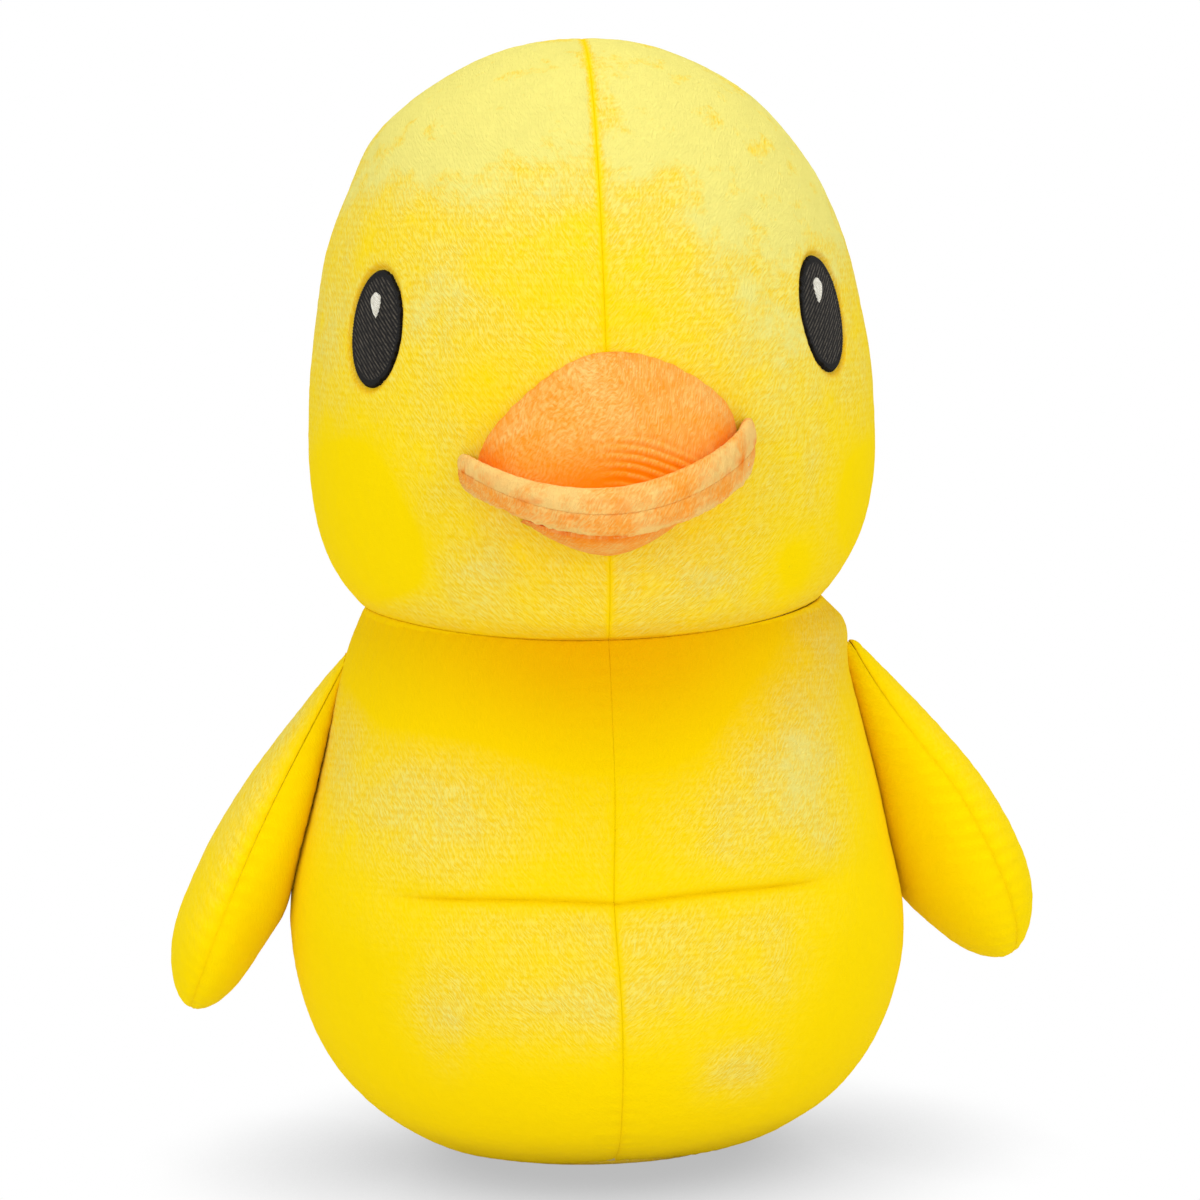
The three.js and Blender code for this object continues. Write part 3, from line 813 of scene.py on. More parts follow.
def wing_points(side_name, face):
    """Half of a wing's pad in the duck's frame. Face is 1 for the outer panel and -1 for the
    inner one. Across the pad a point turns from edge to edge: breadth sin(t), thickness cos(t).
    The pad is thinner still where it narrows, and it bows outwards by a half sine."""
    shape = WING_SHAPES[side_name]
    above_root = shape["root"] * shape["thick"]
    rows = np.linspace(WING_END, 1 - WING_END, WING_ROWS)[:, None]
    down = -above_root + (shape["length"] + above_root) * (1 - np.cos(np.pi * rows)) / 2
    turn = np.pi / 2 * np.sin(np.linspace(-np.pi / 2, np.pi / 2, WING_COLUMNS))[None, :]
    swell = wing_swell(shape, down, above_root)
    front = -WING_HALF_BREADTH * swell * np.sin(turn)
    bow = shape["bow"] * np.sin(np.pi * np.clip(down / shape["length"], 0, 1))
    out = bow + face * shape["thick"] * swell ** shape["flat"] * np.cos(turn)
    twist = shape["twist"] * eased(0, shape["length"] / 2, down)
    forward = front * np.cos(twist) + out * np.sin(twist)
    outward = out * np.cos(twist) - front * np.sin(twist)
    lean = shape["lean"]
    x = hinge_out - shape["inwards"] + outward * math.cos(lean) + down * math.sin(lean)
    z = hinge_height - shape["down"] - down * math.cos(lean) + outward * math.sin(lean)
    return np.stack([SIGN[side_name] * x, forward, z], axis=-1), turn, down


def flank_of_body(points):
    """How far out the body's flank is, level with a point: w(z) sqrt(1 - (y / d(z))^2), more
    or less by the lean of the belly."""
    x, y, z = np.moveaxis(points, -1, 0)
    wide = half_width_at(body_form, z)
    deep = np.maximum(wide * body_form["depth_share"], TINY)
    return wide * np.sqrt(np.clip(1 - (y / deep) ** 2, 0, 1)) + np.sign(x) * belly_lean(z)


def clear_of_body(points, clearance):
    """Moves points out sideways to where they clear the body's flank, by a soft maximum:
    s log(e^(|x| / s) + e^(flank / s))."""
    x, y, z = np.moveaxis(points, -1, 0)
    flank = flank_of_body(points) + clearance
    kept = np.logaddexp(np.abs(x) / SOFT_CONTACT, flank / SOFT_CONTACT) * SOFT_CONTACT
    return np.stack([np.sign(x) * np.where(flank > 1, kept, np.abs(x)), y, z], axis=-1)


# %% [markdown]
# Near the shoulder the pad would run into the body, so it is pushed out along the body's flank:
# the inner panel lies on it, pile in pile, and the outer panel is two pressed layers further out.
# The puckers of the seam are strongest halfway down, where the cloth turns the fullest curve.

# %% Wing panels and filling
RESTS_WITHIN = 4.5  # the inner panel settles on the body where it would be about this near
WRAP_AHEAD, WRAP_HEIGHTS = 9, (-6, 24)  # how a wing that wraps round is drawn in: from the belly
SETTLED_HEIGHTS = (-16, 4)  # below these heights from the belly's middle it hangs free
CAUGHT_DOWN = (-1, 7)  # millimetres down the wing over which it comes out of the side seam
PRESSED_FROM, PRESSED_TO = (2, 11), (15, 40)  # where the two pressed layers begin and end
WING_PUCKER, PUCKER_MORE, PUCKER_BELL = 0.06, 0.26, (0.52, 0.26)  # heights, and shares down it
PUCKER_REACH = 4.2
WING_SEAM = (0.15, 0.6, 0.3, 3.5)  # depth and width of the valley, dip and its reach
WING_LUMPS = 0.8
THIN_DOWN = 16  # the cloth is thinner than this many millimetres down
PALE_BELL, PALE_EDGE = (0.3, 0.28), 3  # shares down the wing, and distance from its edge
# Painted golden shade on a wing's inner panel, fading away from the body, and along the wing's seam.
WING_PAINTED_SHADE, NOOK_REACH = 0.5, 3
WING_SEAM_SHADE = 0.35
WING_SEEDS = {"left": 500, "right": 520}
FILL_CLEAR = 0.4  # between the filling and the covers
FILL_FROM, FILL_SHORT = 20, 5  # the filling starts this far down and stops this far from the tip
FILL_ACROSS = 0.5  # and leaves out the rim, where cos(t) is less
LEAST_FILL = 0.02  # share of the pad's thickness where the covers nearly meet


def settled(points, turn, wrap):
    """Draws the inner panel on to the body's flank, gap (1 - e^(-(gap / near)^2)), but not at
    its rim, where the outer panel joins it. A wing that wraps round is drawn from further off
    in front."""
    x, y, z = np.moveaxis(points, -1, 0)
    gap = np.maximum(np.abs(x) - flank_of_body(points) + PILE_PRESSED, 0)
    up = z - BELLY_HEIGHT
    near = RESTS_WITHIN + wrap * eased(0, WRAP_AHEAD, -y) * eased(*WRAP_HEIGHTS, up)
    above_belly = eased(*SETTLED_HEIGHTS, up)
    drawn = gap * np.exp(-((gap / near) ** 2)) * np.sqrt(np.cos(turn)) * above_belly
    return np.stack([x - np.sign(x) * drawn, y, z], axis=-1)


def wing_grid(side_name, face):
    """The grid of a wing panel, root first. It is clear of the body, but its first few
    millimetres are caught in the body's side seam."""
    points, turn, down = wing_points(side_name, face)
    caught = SEWN_IN * (1 - eased(*CAUGHT_DOWN, down))
    pressed = (1 + face) * PRESSED_COVER * eased(*PRESSED_FROM, down)
    pressed = pressed * (1 - eased(*PRESSED_TO, down))
    points = clear_of_body(points, pressed * np.sqrt(np.cos(turn)) - PILE_PRESSED - caught)
    wrap = WING_SHAPES[side_name]["wrap"]
    return (settled(points, turn, wrap) if face < 0 else points), turn, down


def wing_panel(side_name, face_name):
    """One closed panel of a wing: its rim is drawn in between the two halves of the pad."""
    seed = WING_SEEDS[side_name]
    face = 1 if face_name == "outer" else -1
    points, turn, down = wing_grid(side_name, face)
    if SIGN[side_name] * face < 0:
        points, down = points[::-1], down[::-1]
    along_share = down / WING_SHAPES[side_name]["length"]
    normal = normals_of(points)
    across, along = lengths_along(points, 1), lengths_along(points, 0)
    edge = np.minimum(across, across[:, -1:] - across)
    edge = np.minimum(edge, np.minimum(along, along[-1:] - along))
    pucker = WING_PUCKER + PUCKER_MORE * bell(along_share, *PUCKER_BELL)
    drop = seam_valley(edge, *WING_SEAM)
    drop = drop - gathers(edge, along, points, pucker, seed, PUCKER_REACH)
    moved = points - drop[..., None] * normal
    outer = moved + unevenness(points, seed + 5, WING_LUMPS)[..., None] * normal
    thickness = ROOT_COVER + (WING_COVER - ROOT_COVER) * eased(0, THIN_DOWN, down)
    inner = thickness_inside(moved, normal, thickness[..., None])
    pale = WING_SHAPES[side_name]["pale"] * bell(along_share, *PALE_BELL)
    gap = np.maximum(np.abs(points[..., 0]) - flank_of_body(points), 0)
    layers = {
        "brushed": pale * (face > 0) * (1 - bell(edge, 0, PALE_EDGE)),
        "nook": WING_PAINTED_SHADE * np.exp(-gap / NOOK_REACH) * (face < 0),
        "seam": WING_SEAM_SHADE * np.exp(-edge / SEAM_SHADE),
    }
    return cloth_piece(f"{side_name}_wing_{face_name}_cover", outer, inner, layers)


def in_steps(numbers):
    """The first of them, as many as give the inner grid whole steps."""
    return numbers[: len(numbers) // INNER_STEP * INNER_STEP - INNER_STEP + 1]


def wing_filling(side_name):
    """The space between the two covers: each pair of points moved together by a cover's
    thickness. It leaves out the thin root, the tip and the rim."""
    outside, turn, down = wing_grid(side_name, 1)
    inside = wing_grid(side_name, -1)[0]
    half = (outside - inside) / 2
    thick = np.linalg.norm(half, axis=2, keepdims=True)
    half = half * np.clip(1 - (WING_COVER + FILL_CLEAR) / np.maximum(thick, TINY), LEAST_FILL, 1)
    middle = (outside + inside) / 2
    fill_to = WING_SHAPES[side_name]["length"] - FILL_SHORT
    rows = in_steps(np.flatnonzero((down[:, 0] > FILL_FROM) & (down[:, 0] < fill_to)))
    columns = in_steps(np.flatnonzero(np.cos(turn[0]) > FILL_ACROSS))
    top = (middle + half)[rows][:, columns]
    below = (middle - half)[rows][:, columns]
    if side_name == "right":
        top, below = top[::-1], below[::-1]
    return filling(f"{side_name}_wing_fill", top, below)


wing_covers = []
for side_name in SIGN:
    for face_name in ("outer", "inner"):
        cover = wing_panel(side_name, face_name)
        wing_covers.append((cover, side_name, f"{side_name}_wing_{face_name}_panel"))
wing_fills = {side_name: wing_filling(side_name) for side_name in SIGN}
print("wing fillings:", {side: len(fill.data.polygons) for side, fill in wing_fills.items()})

# %% [markdown]
# ## Bill
# The bill is a soft dome on the face with a padded brim round it, like a duck's smile. Seen from
# above it is an oval, whose middle lies inside the head. Each column of the grid is a slice from
# the seam at the front of the brim, over the brim and up the dome, until it meets the face. At the
# front the dome runs out into the brim like a slide, and at the sides it stands up round.

# %% Slices of the bill
BILL_ROOT = 40
BILL_HEIGHT = NECK_HEIGHT + 20.4
BILL_HALF_WIDTH, BRIM_REACH = 24.6, 32
BILL_SMILE = 8
BILL_TILT = math.tan(math.radians(3.9))
BILL_COVER = 1.5
BILL_SPREAD = math.radians(97)
FACE_GAP = 0.2
ROLL_MIDDLE, ROLL_TALL, ROLL_DEEP = 0.6, 3.1, 2.9  # the upper of the two rolls of the brim
UNDER_MIDDLE, UNDER_TALL, UNDER_DEEP = -0.9, 2.9, 2.6  # the lower roll
ROLL_NARROWS = 0.5  # how much less deep the rolls are at the corners of the mouth
BRIM_SEAM = -0.3  # height at which the two rolls are sewn together
BRIM_SWELLS = 0.22  # how much taller the brim is at the duck's left end, and less at its right
VALLEY_TURN = math.radians(195)
ROLL_PART = 0.3  # share of a slice that goes round its roll
DOME_RISE, DOME_POWER = 27.5, 1.8
POWER_TURN = 0.1  # how much squarer the dome is on the duck's left
DOME_STAYS = 0.9  # how much of the brim's smile and tilt the top of the dome leaves out
SLIDE = 0.6
SLICE_SAMPLES = 1201
BILL_STEP, BILL_CROWDING = 0.4, 2.0


def bill_lift(x, height):
    """How far the brim's smile and tilt lift a point, smile (x / w)^2 + tilt x. The top of the
    dome is lifted less and less."""
    on_brim = 1 - DOME_STAYS * eased(ROLL_MIDDLE + ROLL_TALL, DOME_RISE, height)
    return (BILL_SMILE * (x / BILL_HALF_WIDTH) ** 2 + BILL_TILT * x) * on_brim


def bill_place(angle, share, height):
    """A point of the bill: share of the way out to its oval, at an angle from straight ahead."""
    x = BILL_HALF_WIDTH * share * np.sin(angle)
    ahead = BILL_ROOT + BRIM_REACH * share * np.cos(angle)
    return np.stack([x, -ahead, BILL_HEIGHT + height + bill_lift(x, height)], axis=-1)


def roll_share(angle, turn, deep):
    """Share of the way out on a roll of the brim: 1 less deep (1 - cos(turn)) / radius. The
    rolls are less deep towards the corners of the mouth."""
    radius = np.hypot(BILL_HALF_WIDTH * np.sin(angle), BRIM_REACH * np.cos(angle))
    deep = deep * (1 - ROLL_NARROWS * np.sin(angle) ** 2)
    return 1 - deep / radius * (1 - np.cos(turn))


UPPER_SEAM_TURN = math.asin((BRIM_SEAM - ROLL_MIDDLE) / ROLL_TALL)
UNDER_SEAM_TURN = math.asin((BRIM_SEAM - UNDER_MIDDLE) / UNDER_TALL)


def slice_parts(t):
    """How far t is round the roll, and then how far over the rest, each from 0 to 1."""
    return np.clip(t / ROLL_PART, 0, 1), np.clip((t - ROLL_PART) / (1 - ROLL_PART), 0, 1)


def upper_slice(angle, t):
    """From the brim's seam (t = 0) round the upper roll to the valley, and up the dome: a
    superellipse at the sides, and towards the front more of a half cosine, like a slide."""
    round_roll, over_dome = slice_parts(t)
    turn = UPPER_SEAM_TURN + (VALLEY_TURN - UPPER_SEAM_TURN) * round_roll
    valley_share = roll_share(angle, VALLEY_TURN, ROLL_DEEP)
    taller = 1 + BRIM_SWELLS * np.sin(angle)
    valley_height = taller * (ROLL_MIDDLE + ROLL_TALL * math.sin(VALLEY_TURN))
    out = 1 - over_dome
    power = DOME_POWER * (1 + POWER_TURN * np.sin(angle))
    round_dome = (1 - out**power) ** (1 / power)
    slide = 0.5 * (1 + np.cos(np.pi * out))
    ahead = SLIDE * np.cos(angle) ** 2
    dome = ahead * slide + (1 - ahead) * round_dome
    on_roll = t < ROLL_PART
    share = np.where(on_roll, roll_share(angle, turn, ROLL_DEEP), valley_share * out)
    on_dome = valley_height + (DOME_RISE - valley_height) * dome
    return share, np.where(on_roll, taller * (ROLL_MIDDLE + ROLL_TALL * np.sin(turn)), on_dome)


def under_slice(angle, t):
    """From the brim's seam round the lower roll, and level back to the face. Its seam is moved
    out or in to meet the upper panel's."""
    round_roll, inwards = slice_parts(t)
    on_roll = t < ROLL_PART
    turn = UNDER_SEAM_TURN - (UNDER_SEAM_TURN + np.pi / 2) * round_roll
    to_meet = roll_share(angle, UPPER_SEAM_TURN, ROLL_DEEP)
    to_meet = to_meet - roll_share(angle, UNDER_SEAM_TURN, UNDER_DEEP)
    level_share = (roll_share(angle, -np.pi / 2, UNDER_DEEP) + to_meet) * (1 - inwards)
    share = np.where(on_roll, roll_share(angle, turn, UNDER_DEEP) + to_meet, level_share)
    taller = 1 + BRIM_SWELLS * np.sin(angle)
    return share, taller * (UNDER_MIDDLE + UNDER_TALL * np.where(on_roll, np.sin(turn), -1))


CHIN_HALF_WIDTH, CHIN_REACH, CHIN_DEPTH = 14.5, 22, 4.9
CHIN_TOP = UNDER_MIDDLE - UNDER_TALL - FACE_GAP
CHIN_TAPER, LEAST_CHIN = 0.8, 0.001  # power of the cosine that makes its ends less deep


def chin_share(angle):
    """Radius of the lower bill's oval as a share of the upper bill's, in one direction."""
    wide = np.sin(angle) * BILL_HALF_WIDTH / CHIN_HALF_WIDTH
    return 1 / np.hypot(wide, np.cos(angle) * BRIM_REACH / CHIN_REACH)


def chin_slice(angle, t):
    """A quarter ellipse that hangs from the brim: out cos(g), down sin(g). It is less deep
    towards its ends."""
    turn = np.pi / 2 * t
    fullness = np.maximum(np.cos(angle * np.pi / 2 / BILL_SPREAD), LEAST_CHIN)
    depth = CHIN_DEPTH * fullness**CHIN_TAPER
    return chin_share(angle) * np.cos(turn), CHIN_TOP - depth * np.sin(turn)


def chin_top_slice(angle, t):
    """The lower bill's upper layer lies level under the brim."""
    return chin_share(angle) * (1 - t), np.full(np.broadcast(angle, t).shape, CHIN_TOP)


def outside_face(points):
    """How far a point lies outside the head's form, level with itself."""
    x, y, z = np.moveaxis(points, -1, 0)
    x = x / np.where(x > 0, head_lop(1, z), head_lop(-1, z))
    return np.hypot(x, y / head_form["depth_share"]) - half_width_at(head_form, z)


def bill_spacing(length):
    """Shares along a length of the bill, crowded at its ends."""
    return spaced(length, BILL_STEP / 2, BILL_STEP, BILL_CROWDING, INNER_STEP)


def slice_grid(slice_of):
    """Grid of a bill sheet: columns are slices, cut where they meet the face and then divided
    evenly along the cloth."""
    t = np.linspace(0, 1, SLICE_SAMPLES)[:, None]
    turns = bill_spacing(2 * BILL_SPREAD * BRIM_REACH)
    angles = BILL_SPREAD * (2 * turns - 1)
    share, height = slice_of(angles[None, :], t)
    fine = bill_place(angles[None, :], share, height)
    last = np.maximum(np.argmax(outside_face(fine) < FACE_GAP, axis=0), 2)
    length = lengths_along(fine, 0)
    longest = length[last, np.arange(len(last))]
    rows = bill_spacing(longest.max())
    grid = np.empty((len(rows), len(angles), 3))
    for column, stop in enumerate(last):
        along, until = rows * longest[column], length[: stop + 1, column]
        for axis in range(3):
            grid[:, column, axis] = np.interp(along, until, fine[: stop + 1, column, axis])
    return grid


# %% [markdown]
# The front of the dome is a hollow, where the cloth is drawn down into the seam of the brim. Fine
# wrinkles curve round it on the duck's left. They are arcs round a point below the brim.

# %% Bill covers and filling
WRINKLE_PITCH, WRINKLE_HEIGHT = 1.5, 0.2
WRINKLE_CENTRE = (-1.0, 107.0)  # across and height
WRINKLE_RING = (12, 16), (22, 27)  # radii between which they begin and end
WRINKLE_TURNS = (-0.2, 0.2), (0.9, 1.25)  # radians from straight up, likewise
WRINKLE_DRIFT, DRIFT_CELL, DRIFT_SEED = 0.6, 7, 77
CHIN_CLOTH, CHIN_CORNER = 0.08, 13.6  # thickness at the corners of the mouth, and where they are
THIN_BY = 0.05  # how much less than half a cover each layer of the lower bill has
FACE_VALLEY = (0.4, 0.8, 0.2, 3)  # depth and width of the valley, dip and its reach
BILL_GATHER, BILL_LUMPS, SMOOTH_SEAM = 0.18, 0.5, 0.6
# Painted shade along the seam at the face, and in stitch dimples along the brim's seam, which the mesh
# doesn't have.
FACE_SHADE, FACE_SHADE_REACH = 0.5, 0.9
DIMPLE_CELL, DIMPLE_SEED = (2.6, 2.6, 1.3), 97  # stitch dimples along the brim's seam
DIMPLE_SHADE, DIMPLE_REACH = 0.9, 1.3
HALF_BRUSHED, SEAM_PART = 0.5, 0.4
UPPER_ROLL, UNDER_ROLL = (0.84, 0.9), (0.8, 0.9)  # shares out between which a roll begins
HOLLOW_HEIGHT, HOLLOW_ACROSS = (1, 7.5), (0, 15)  # middle and spread of the dome's hollow
CORNER_HEIGHT, CORNER_OUT = (3, 4), (0.6, 0.85)  # middle and spread, and the shares out
HOLLOW_SHADE, CORNER_SHADE, WRINKLE_SHADE = 1.15, 0.8, 0.5
SHADED_ABOVE = 3  # lower down, the wrinkles keep their colour
DOME_PAINTED_SHADE, DEEPEST_PAINTED_SHADE = 0.5, 1.3
BRIM_BRUSHED, MORE_OUTWARDS, HOLLOW_SMOOTH = 0.1, 0.45, 0.4
TUFT_CELL, TUFT_SEED, TUFT_HEIGHT, TUFT_FROM = 1.1, 631, 0.3, 0.9
UNDER_BRUSHED, UNDER_MORE, UNDER_FROM = 0.55, 0.4, (2.2, 4.2)  # millimetres from the seam
# Painted shade behind the lower roll of the brim, and on the chin where it comes out from under the
# brim.
UNDER_PAINTED_SHADE = 0.8
CHIN_PAINTED_SHADE, CHIN_NOOK_DOWN, CHIN_NOOK_WIDE = 0.7, (0.3, 2.2), 9
CHIN_BRUSHED, CHIN_MORE, CHIN_FROM = 0.35, 0.3, (1, 4)  # millimetres below the brim
FILL_INSET, FILL_GRID = 0.9, 2  # millimetres inside the cover, and every second point of its grid


def wrinkles(points):
    """Ripples sin(2 pi r / pitch) by the distance r from the centre of the arcs, kept to a ring
    and to the duck's left of it."""
    x, y, z = np.moveaxis(points, -1, 0)
    across, up = x - WRINKLE_CENTRE[0], z - WRINKLE_CENTRE[1]
    r = np.hypot(across, up) + WRINKLE_DRIFT * hills(points, DRIFT_CELL, DRIFT_SEED)
    window = 1
    for value, (begin, end) in ((r, WRINKLE_RING), (np.arctan2(across, up), WRINKLE_TURNS)):
        window = window * eased(*begin, value) * (1 - eased(*end, value))
    return window * np.sin(2 * np.pi * r / WRINKLE_PITCH)


def level_of(points):
    """Height above the middle of the brim there: its smile and tilt are taken away."""
    x, y, z = np.moveaxis(points, -1, 0)
    return z - BILL_HEIGHT - bill_lift(x, z - BILL_HEIGHT)


def chin_thickness(points):
    """Thickness of the lower bill's two layers: they thin out towards the corners of the mouth."""
    from_middle = np.abs(points[..., 0]) / CHIN_CORNER
    half_cover = BILL_COVER / 2 - THIN_BY
    return (CHIN_CLOTH + half_cover * np.sqrt(np.clip(1 - from_middle**2, 0, 1)))[..., None]


def share_out(points):
    """Share of the way out from the bill's root to the oval of its brim."""
    across, ahead = points[..., 0] / BILL_HALF_WIDTH, (-points[..., 1] - BILL_ROOT) / BRIM_REACH
    return np.hypot(across, ahead)


def bill_sheet(slice_of, seed, facing_up, thickness_of=None):
    """Points, normals, outer and inner grid and layers of one sheet of the bill, with gathers at
    its seam, a valley at the face, and painted shade at the face and in spots along the brim's seam."""
    points = slice_grid(slice_of)
    thickness = BILL_COVER if thickness_of is None else thickness_of(points)
    if not facing_up:
        points = points[:, ::-1]
    normal = normals_of(points)
    up, across = lengths_along(points, 0), lengths_along(points, 1)
    to_face = up[-1:] - up
    drop = seam_valley(to_face, *FACE_VALLEY)
    for distance in (up, to_face):
        drop = drop - gathers(distance, across, points, BILL_GATHER, seed)
    moved = points - drop[..., None] * normal
    rough = unevenness(points, seed + 5, BILL_LUMPS) * (1 - np.exp(-up / SMOOTH_SEAM))
    outer = moved + rough[..., None] * normal
    inner = thickness_inside(moved, normal, thickness)
    seam = np.exp(-to_face / FACE_SHADE_REACH)
    dimple_shade = np.clip(hills(points, DIMPLE_CELL, DIMPLE_SEED), 0, 1) * np.exp(-up / DIMPLE_REACH)
    layers = {
        "brushed": HALF_BRUSHED + 0 * seam,
        "nook": FACE_SHADE * seam + DIMPLE_SHADE * dimple_shade,
        "seam": SEAM_PART * seam,
    }
    return points, normal, outer, inner, layers


def top_layers(points, normal, outer, layers):
    """The dome's hollow lies smooth, with painted shade in it and at its corners, and painted light
    and shade across its wrinkles; the brim's pile stands up towards its ends.
    """
    level, out_share = level_of(points), np.abs(points[..., 0]) / BILL_HALF_WIDTH
    on_roll = eased(*UPPER_ROLL, share_out(points))
    hollow = bell(level, *HOLLOW_HEIGHT) * bell(points[..., 0], *HOLLOW_ACROSS) * (1 - on_roll)
    corner = bell(level, *CORNER_HEIGHT) * eased(*CORNER_OUT, out_share) * (1 - on_roll)
    ripple = wrinkles(points) * (1 - on_roll)
    shade = HOLLOW_SHADE * hollow + CORNER_SHADE * corner
    shade = shade - WRINKLE_SHADE * ripple * (level > SHADED_ABOVE)
    layers["nook"] = np.clip(layers["nook"] * (on_roll + DOME_PAINTED_SHADE) + shade, 0, DEEPEST_PAINTED_SHADE)
    brim = on_roll * (BRIM_BRUSHED + MORE_OUTWARDS * out_share)
    layers["brushed"] = HALF_BRUSHED + brim - HOLLOW_SMOOTH * hollow
    return outer + WRINKLE_HEIGHT * ripple[..., None] * normal


def under_layers(points, normal, outer, layers):
    """The lower roll of the brim is tufted, and behind it the cloth lies in shade."""
    on_roll = eased(*UNDER_ROLL, share_out(points))
    from_seam = lengths_along(points, 0)
    tufts = hills(points, TUFT_CELL, TUFT_SEED) * on_roll * (1 - np.exp(-from_seam / TUFT_FROM))
    layers["brushed"] = on_roll * (UNDER_BRUSHED + UNDER_MORE * eased(*UNDER_FROM, from_seam))
    layers["nook"] = np.maximum(layers["nook"] * on_roll, UNDER_PAINTED_SHADE * (1 - on_roll))
    return outer + TUFT_HEIGHT * tufts[..., None] * normal


def chin_layers(points, normal, outer, layers):
    """The chin is shaded where it comes out from under the brim."""
    drop = CHIN_TOP - level_of(points)
    fade = (1 - eased(*CHIN_NOOK_DOWN, drop)) * bell(points[..., 0], 0, CHIN_NOOK_WIDE)
    layers["nook"] = CHIN_PAINTED_SHADE * fade
    layers["brushed"] = CHIN_BRUSHED + CHIN_MORE * eased(*CHIN_FROM, drop)
    return outer


BILL_SHEETS = (
    ("upper_bill_top", upper_slice, 600, True, None, top_layers),
    ("upper_bill_under", under_slice, 620, False, None, under_layers),
    ("lower_bill_under", chin_slice, 640, False, chin_thickness, chin_layers),
    ("lower_bill_top", chin_top_slice, 660, True, chin_thickness, None),
)
bill_covers = []
for name, slice_of, seed, facing_up, thickness_of, change in BILL_SHEETS:
    points, normal, outer, inner, layers = bill_sheet(slice_of, seed, facing_up, thickness_of)
    if change is not None:
        outer = change(points, normal, outer, layers)
    bill_covers.append((cloth_piece(f"{name}_cover", outer, inner, layers), f"{name}_panel"))
    if slice_of is upper_slice:
        fill_top = (points - (BILL_COVER + FILL_INSET) * normal)[::FILL_GRID, ::FILL_GRID]
    print(name, "has", len(bill_covers[-1][0].data.polygons), "faces")

# %% [markdown]
# The frame's own filling of the bill stands up where the dome has its hollow, so the bill gets
# a filling of its own: the space under the cover, down to a level above the brim's underside.

# %% Bill filling
FILL_LEVEL = UNDER_MIDDLE - UNDER_TALL + BILL_COVER + 1.2
LEAST_RISE = 0.3  # of the filling's top above its level
FILL_ENDS = 24  # columns of the cover that the filling leaves out at the corners of the mouth
UP = np.array([0, 0, 1])


def bill_filling(top):
    """The cover's grid moved in by its thickness, closed by the same grid laid level below."""
    rows, columns = ((size - 1) // INNER_STEP * INNER_STEP + 1 for size in top.shape[:2])
    top = top[:rows, :columns]
    top = top + np.maximum(FILL_LEVEL + LEAST_RISE - level_of(top), 0)[..., None] * UP
    below = top - (level_of(top) - FILL_LEVEL)[..., None] * UP
    return filling("upper_bill_fill", top, below)


bill_fill = bill_filling(fill_top[:, FILL_ENDS:-FILL_ENDS])
print("bill filling has", len(bill_fill.data.polygons), "faces")

# %% [markdown]
# ## Eyes
# Each eye is machine embroidery: rows of black thread laid slantwise across an oval, inside a
# border of stitches that cross its edge. The rows are real ridges in the mesh, because their
# shine changes with the light. The white highlight is a fan of a few satin stitches.

# %% Thread patches
THREAD_PITCH, THREAD_HEIGHT = 0.6, 0.16  # millimetres from one row to the next, and its height
THREAD_SLANT = math.radians(45)
ROUNDNESS = 0.7  # power of the sine that rounds a strand
STITCH_LENGTH, STITCH_SHIFT, STITCH_DIVE = 3.6, 0.37, 0.45  # shift, in stitches, from row to row
DIVE_ROUNDNESS = 0.25
BORDER_STITCHES, BORDER_LEVEL = 55, 0.9  # half their count round the eye, and their height
BORDER_RIDGE = 0.5
RAGGED_ENDS, RAGGED, RAGGED_FROM = 60, 0.016, 0.85
PILE_TUFTS, TUFT_WANDER, TUFT_LENGTH = 23, (3, 7), 0.05  # the pile that reaches in over the edge
EYE_GRID = (233, 161)
EYE_SUNK = 0.45
EYE_BORDER, BORDER_BLEND = 1.3, 0.25
EDGE_DROP, EDGE_WIDE = 0.6, 0.5  # the edge of the thread dips into the cloth
EYE_THICKNESS = 0.9
SHORT_STEP = 0.01


def on_head(across, up, side):
    """Points on the head seen along the eye's own direction: the ray from (across, up) meets the
    oval (x / w)^2 + (y / d)^2 = 1 at its height."""
    ahead, sideways = eye_axes(side)
    z = EYE_HEIGHT + EYE_LEVEL[side] + up
    deep = (half_width_at(head_form, z) - EYE_SUNK) * head_form["depth_share"]
    wide = (half_width_at(head_form, z) - EYE_SUNK) * head_lop(side, z)
    x0, y0 = across * sideways[0], across * sideways[1]
    a = (ahead[0] / wide) ** 2 + (ahead[1] / deep) ** 2
    b = x0 * ahead[0] / wide**2 + y0 * ahead[1] / deep**2
    c = (x0 / wide) ** 2 + (y0 / deep) ** 2 - 1
    far = (-b + np.sqrt(np.maximum(b * b - a * c, 0))) / a
    return np.stack([x0 + far * ahead[0], y0 + far * ahead[1], z], axis=-1)


def head_normals(across, up, side):
    """Outward unit normals of the head there: the cross product of two short steps on it."""
    here = on_head(across, up, side)
    sideways = on_head(across + SHORT_STEP, up, side) - here
    return unit(np.cross(sideways, on_head(across, up + SHORT_STEP, side) - here))


def thread_piece(name, side, across, up, height, ridge, thickness):
    """Closes a patch of thread that stands a height above the head. On the duck's right its grid
    is turned round, so that it still faces out."""
    points, normal = on_head(across, up, side), head_normals(across, up, side)
    if side < 0:
        points, normal, height, ridge = (grid[:, ::-1] for grid in (points, normal, height, ridge))
    outer = points + height[..., None] * normal
    inner = thickness_inside(points, normal, thickness)
    return cloth_piece(name, outer, inner, {"ridge": ridge})


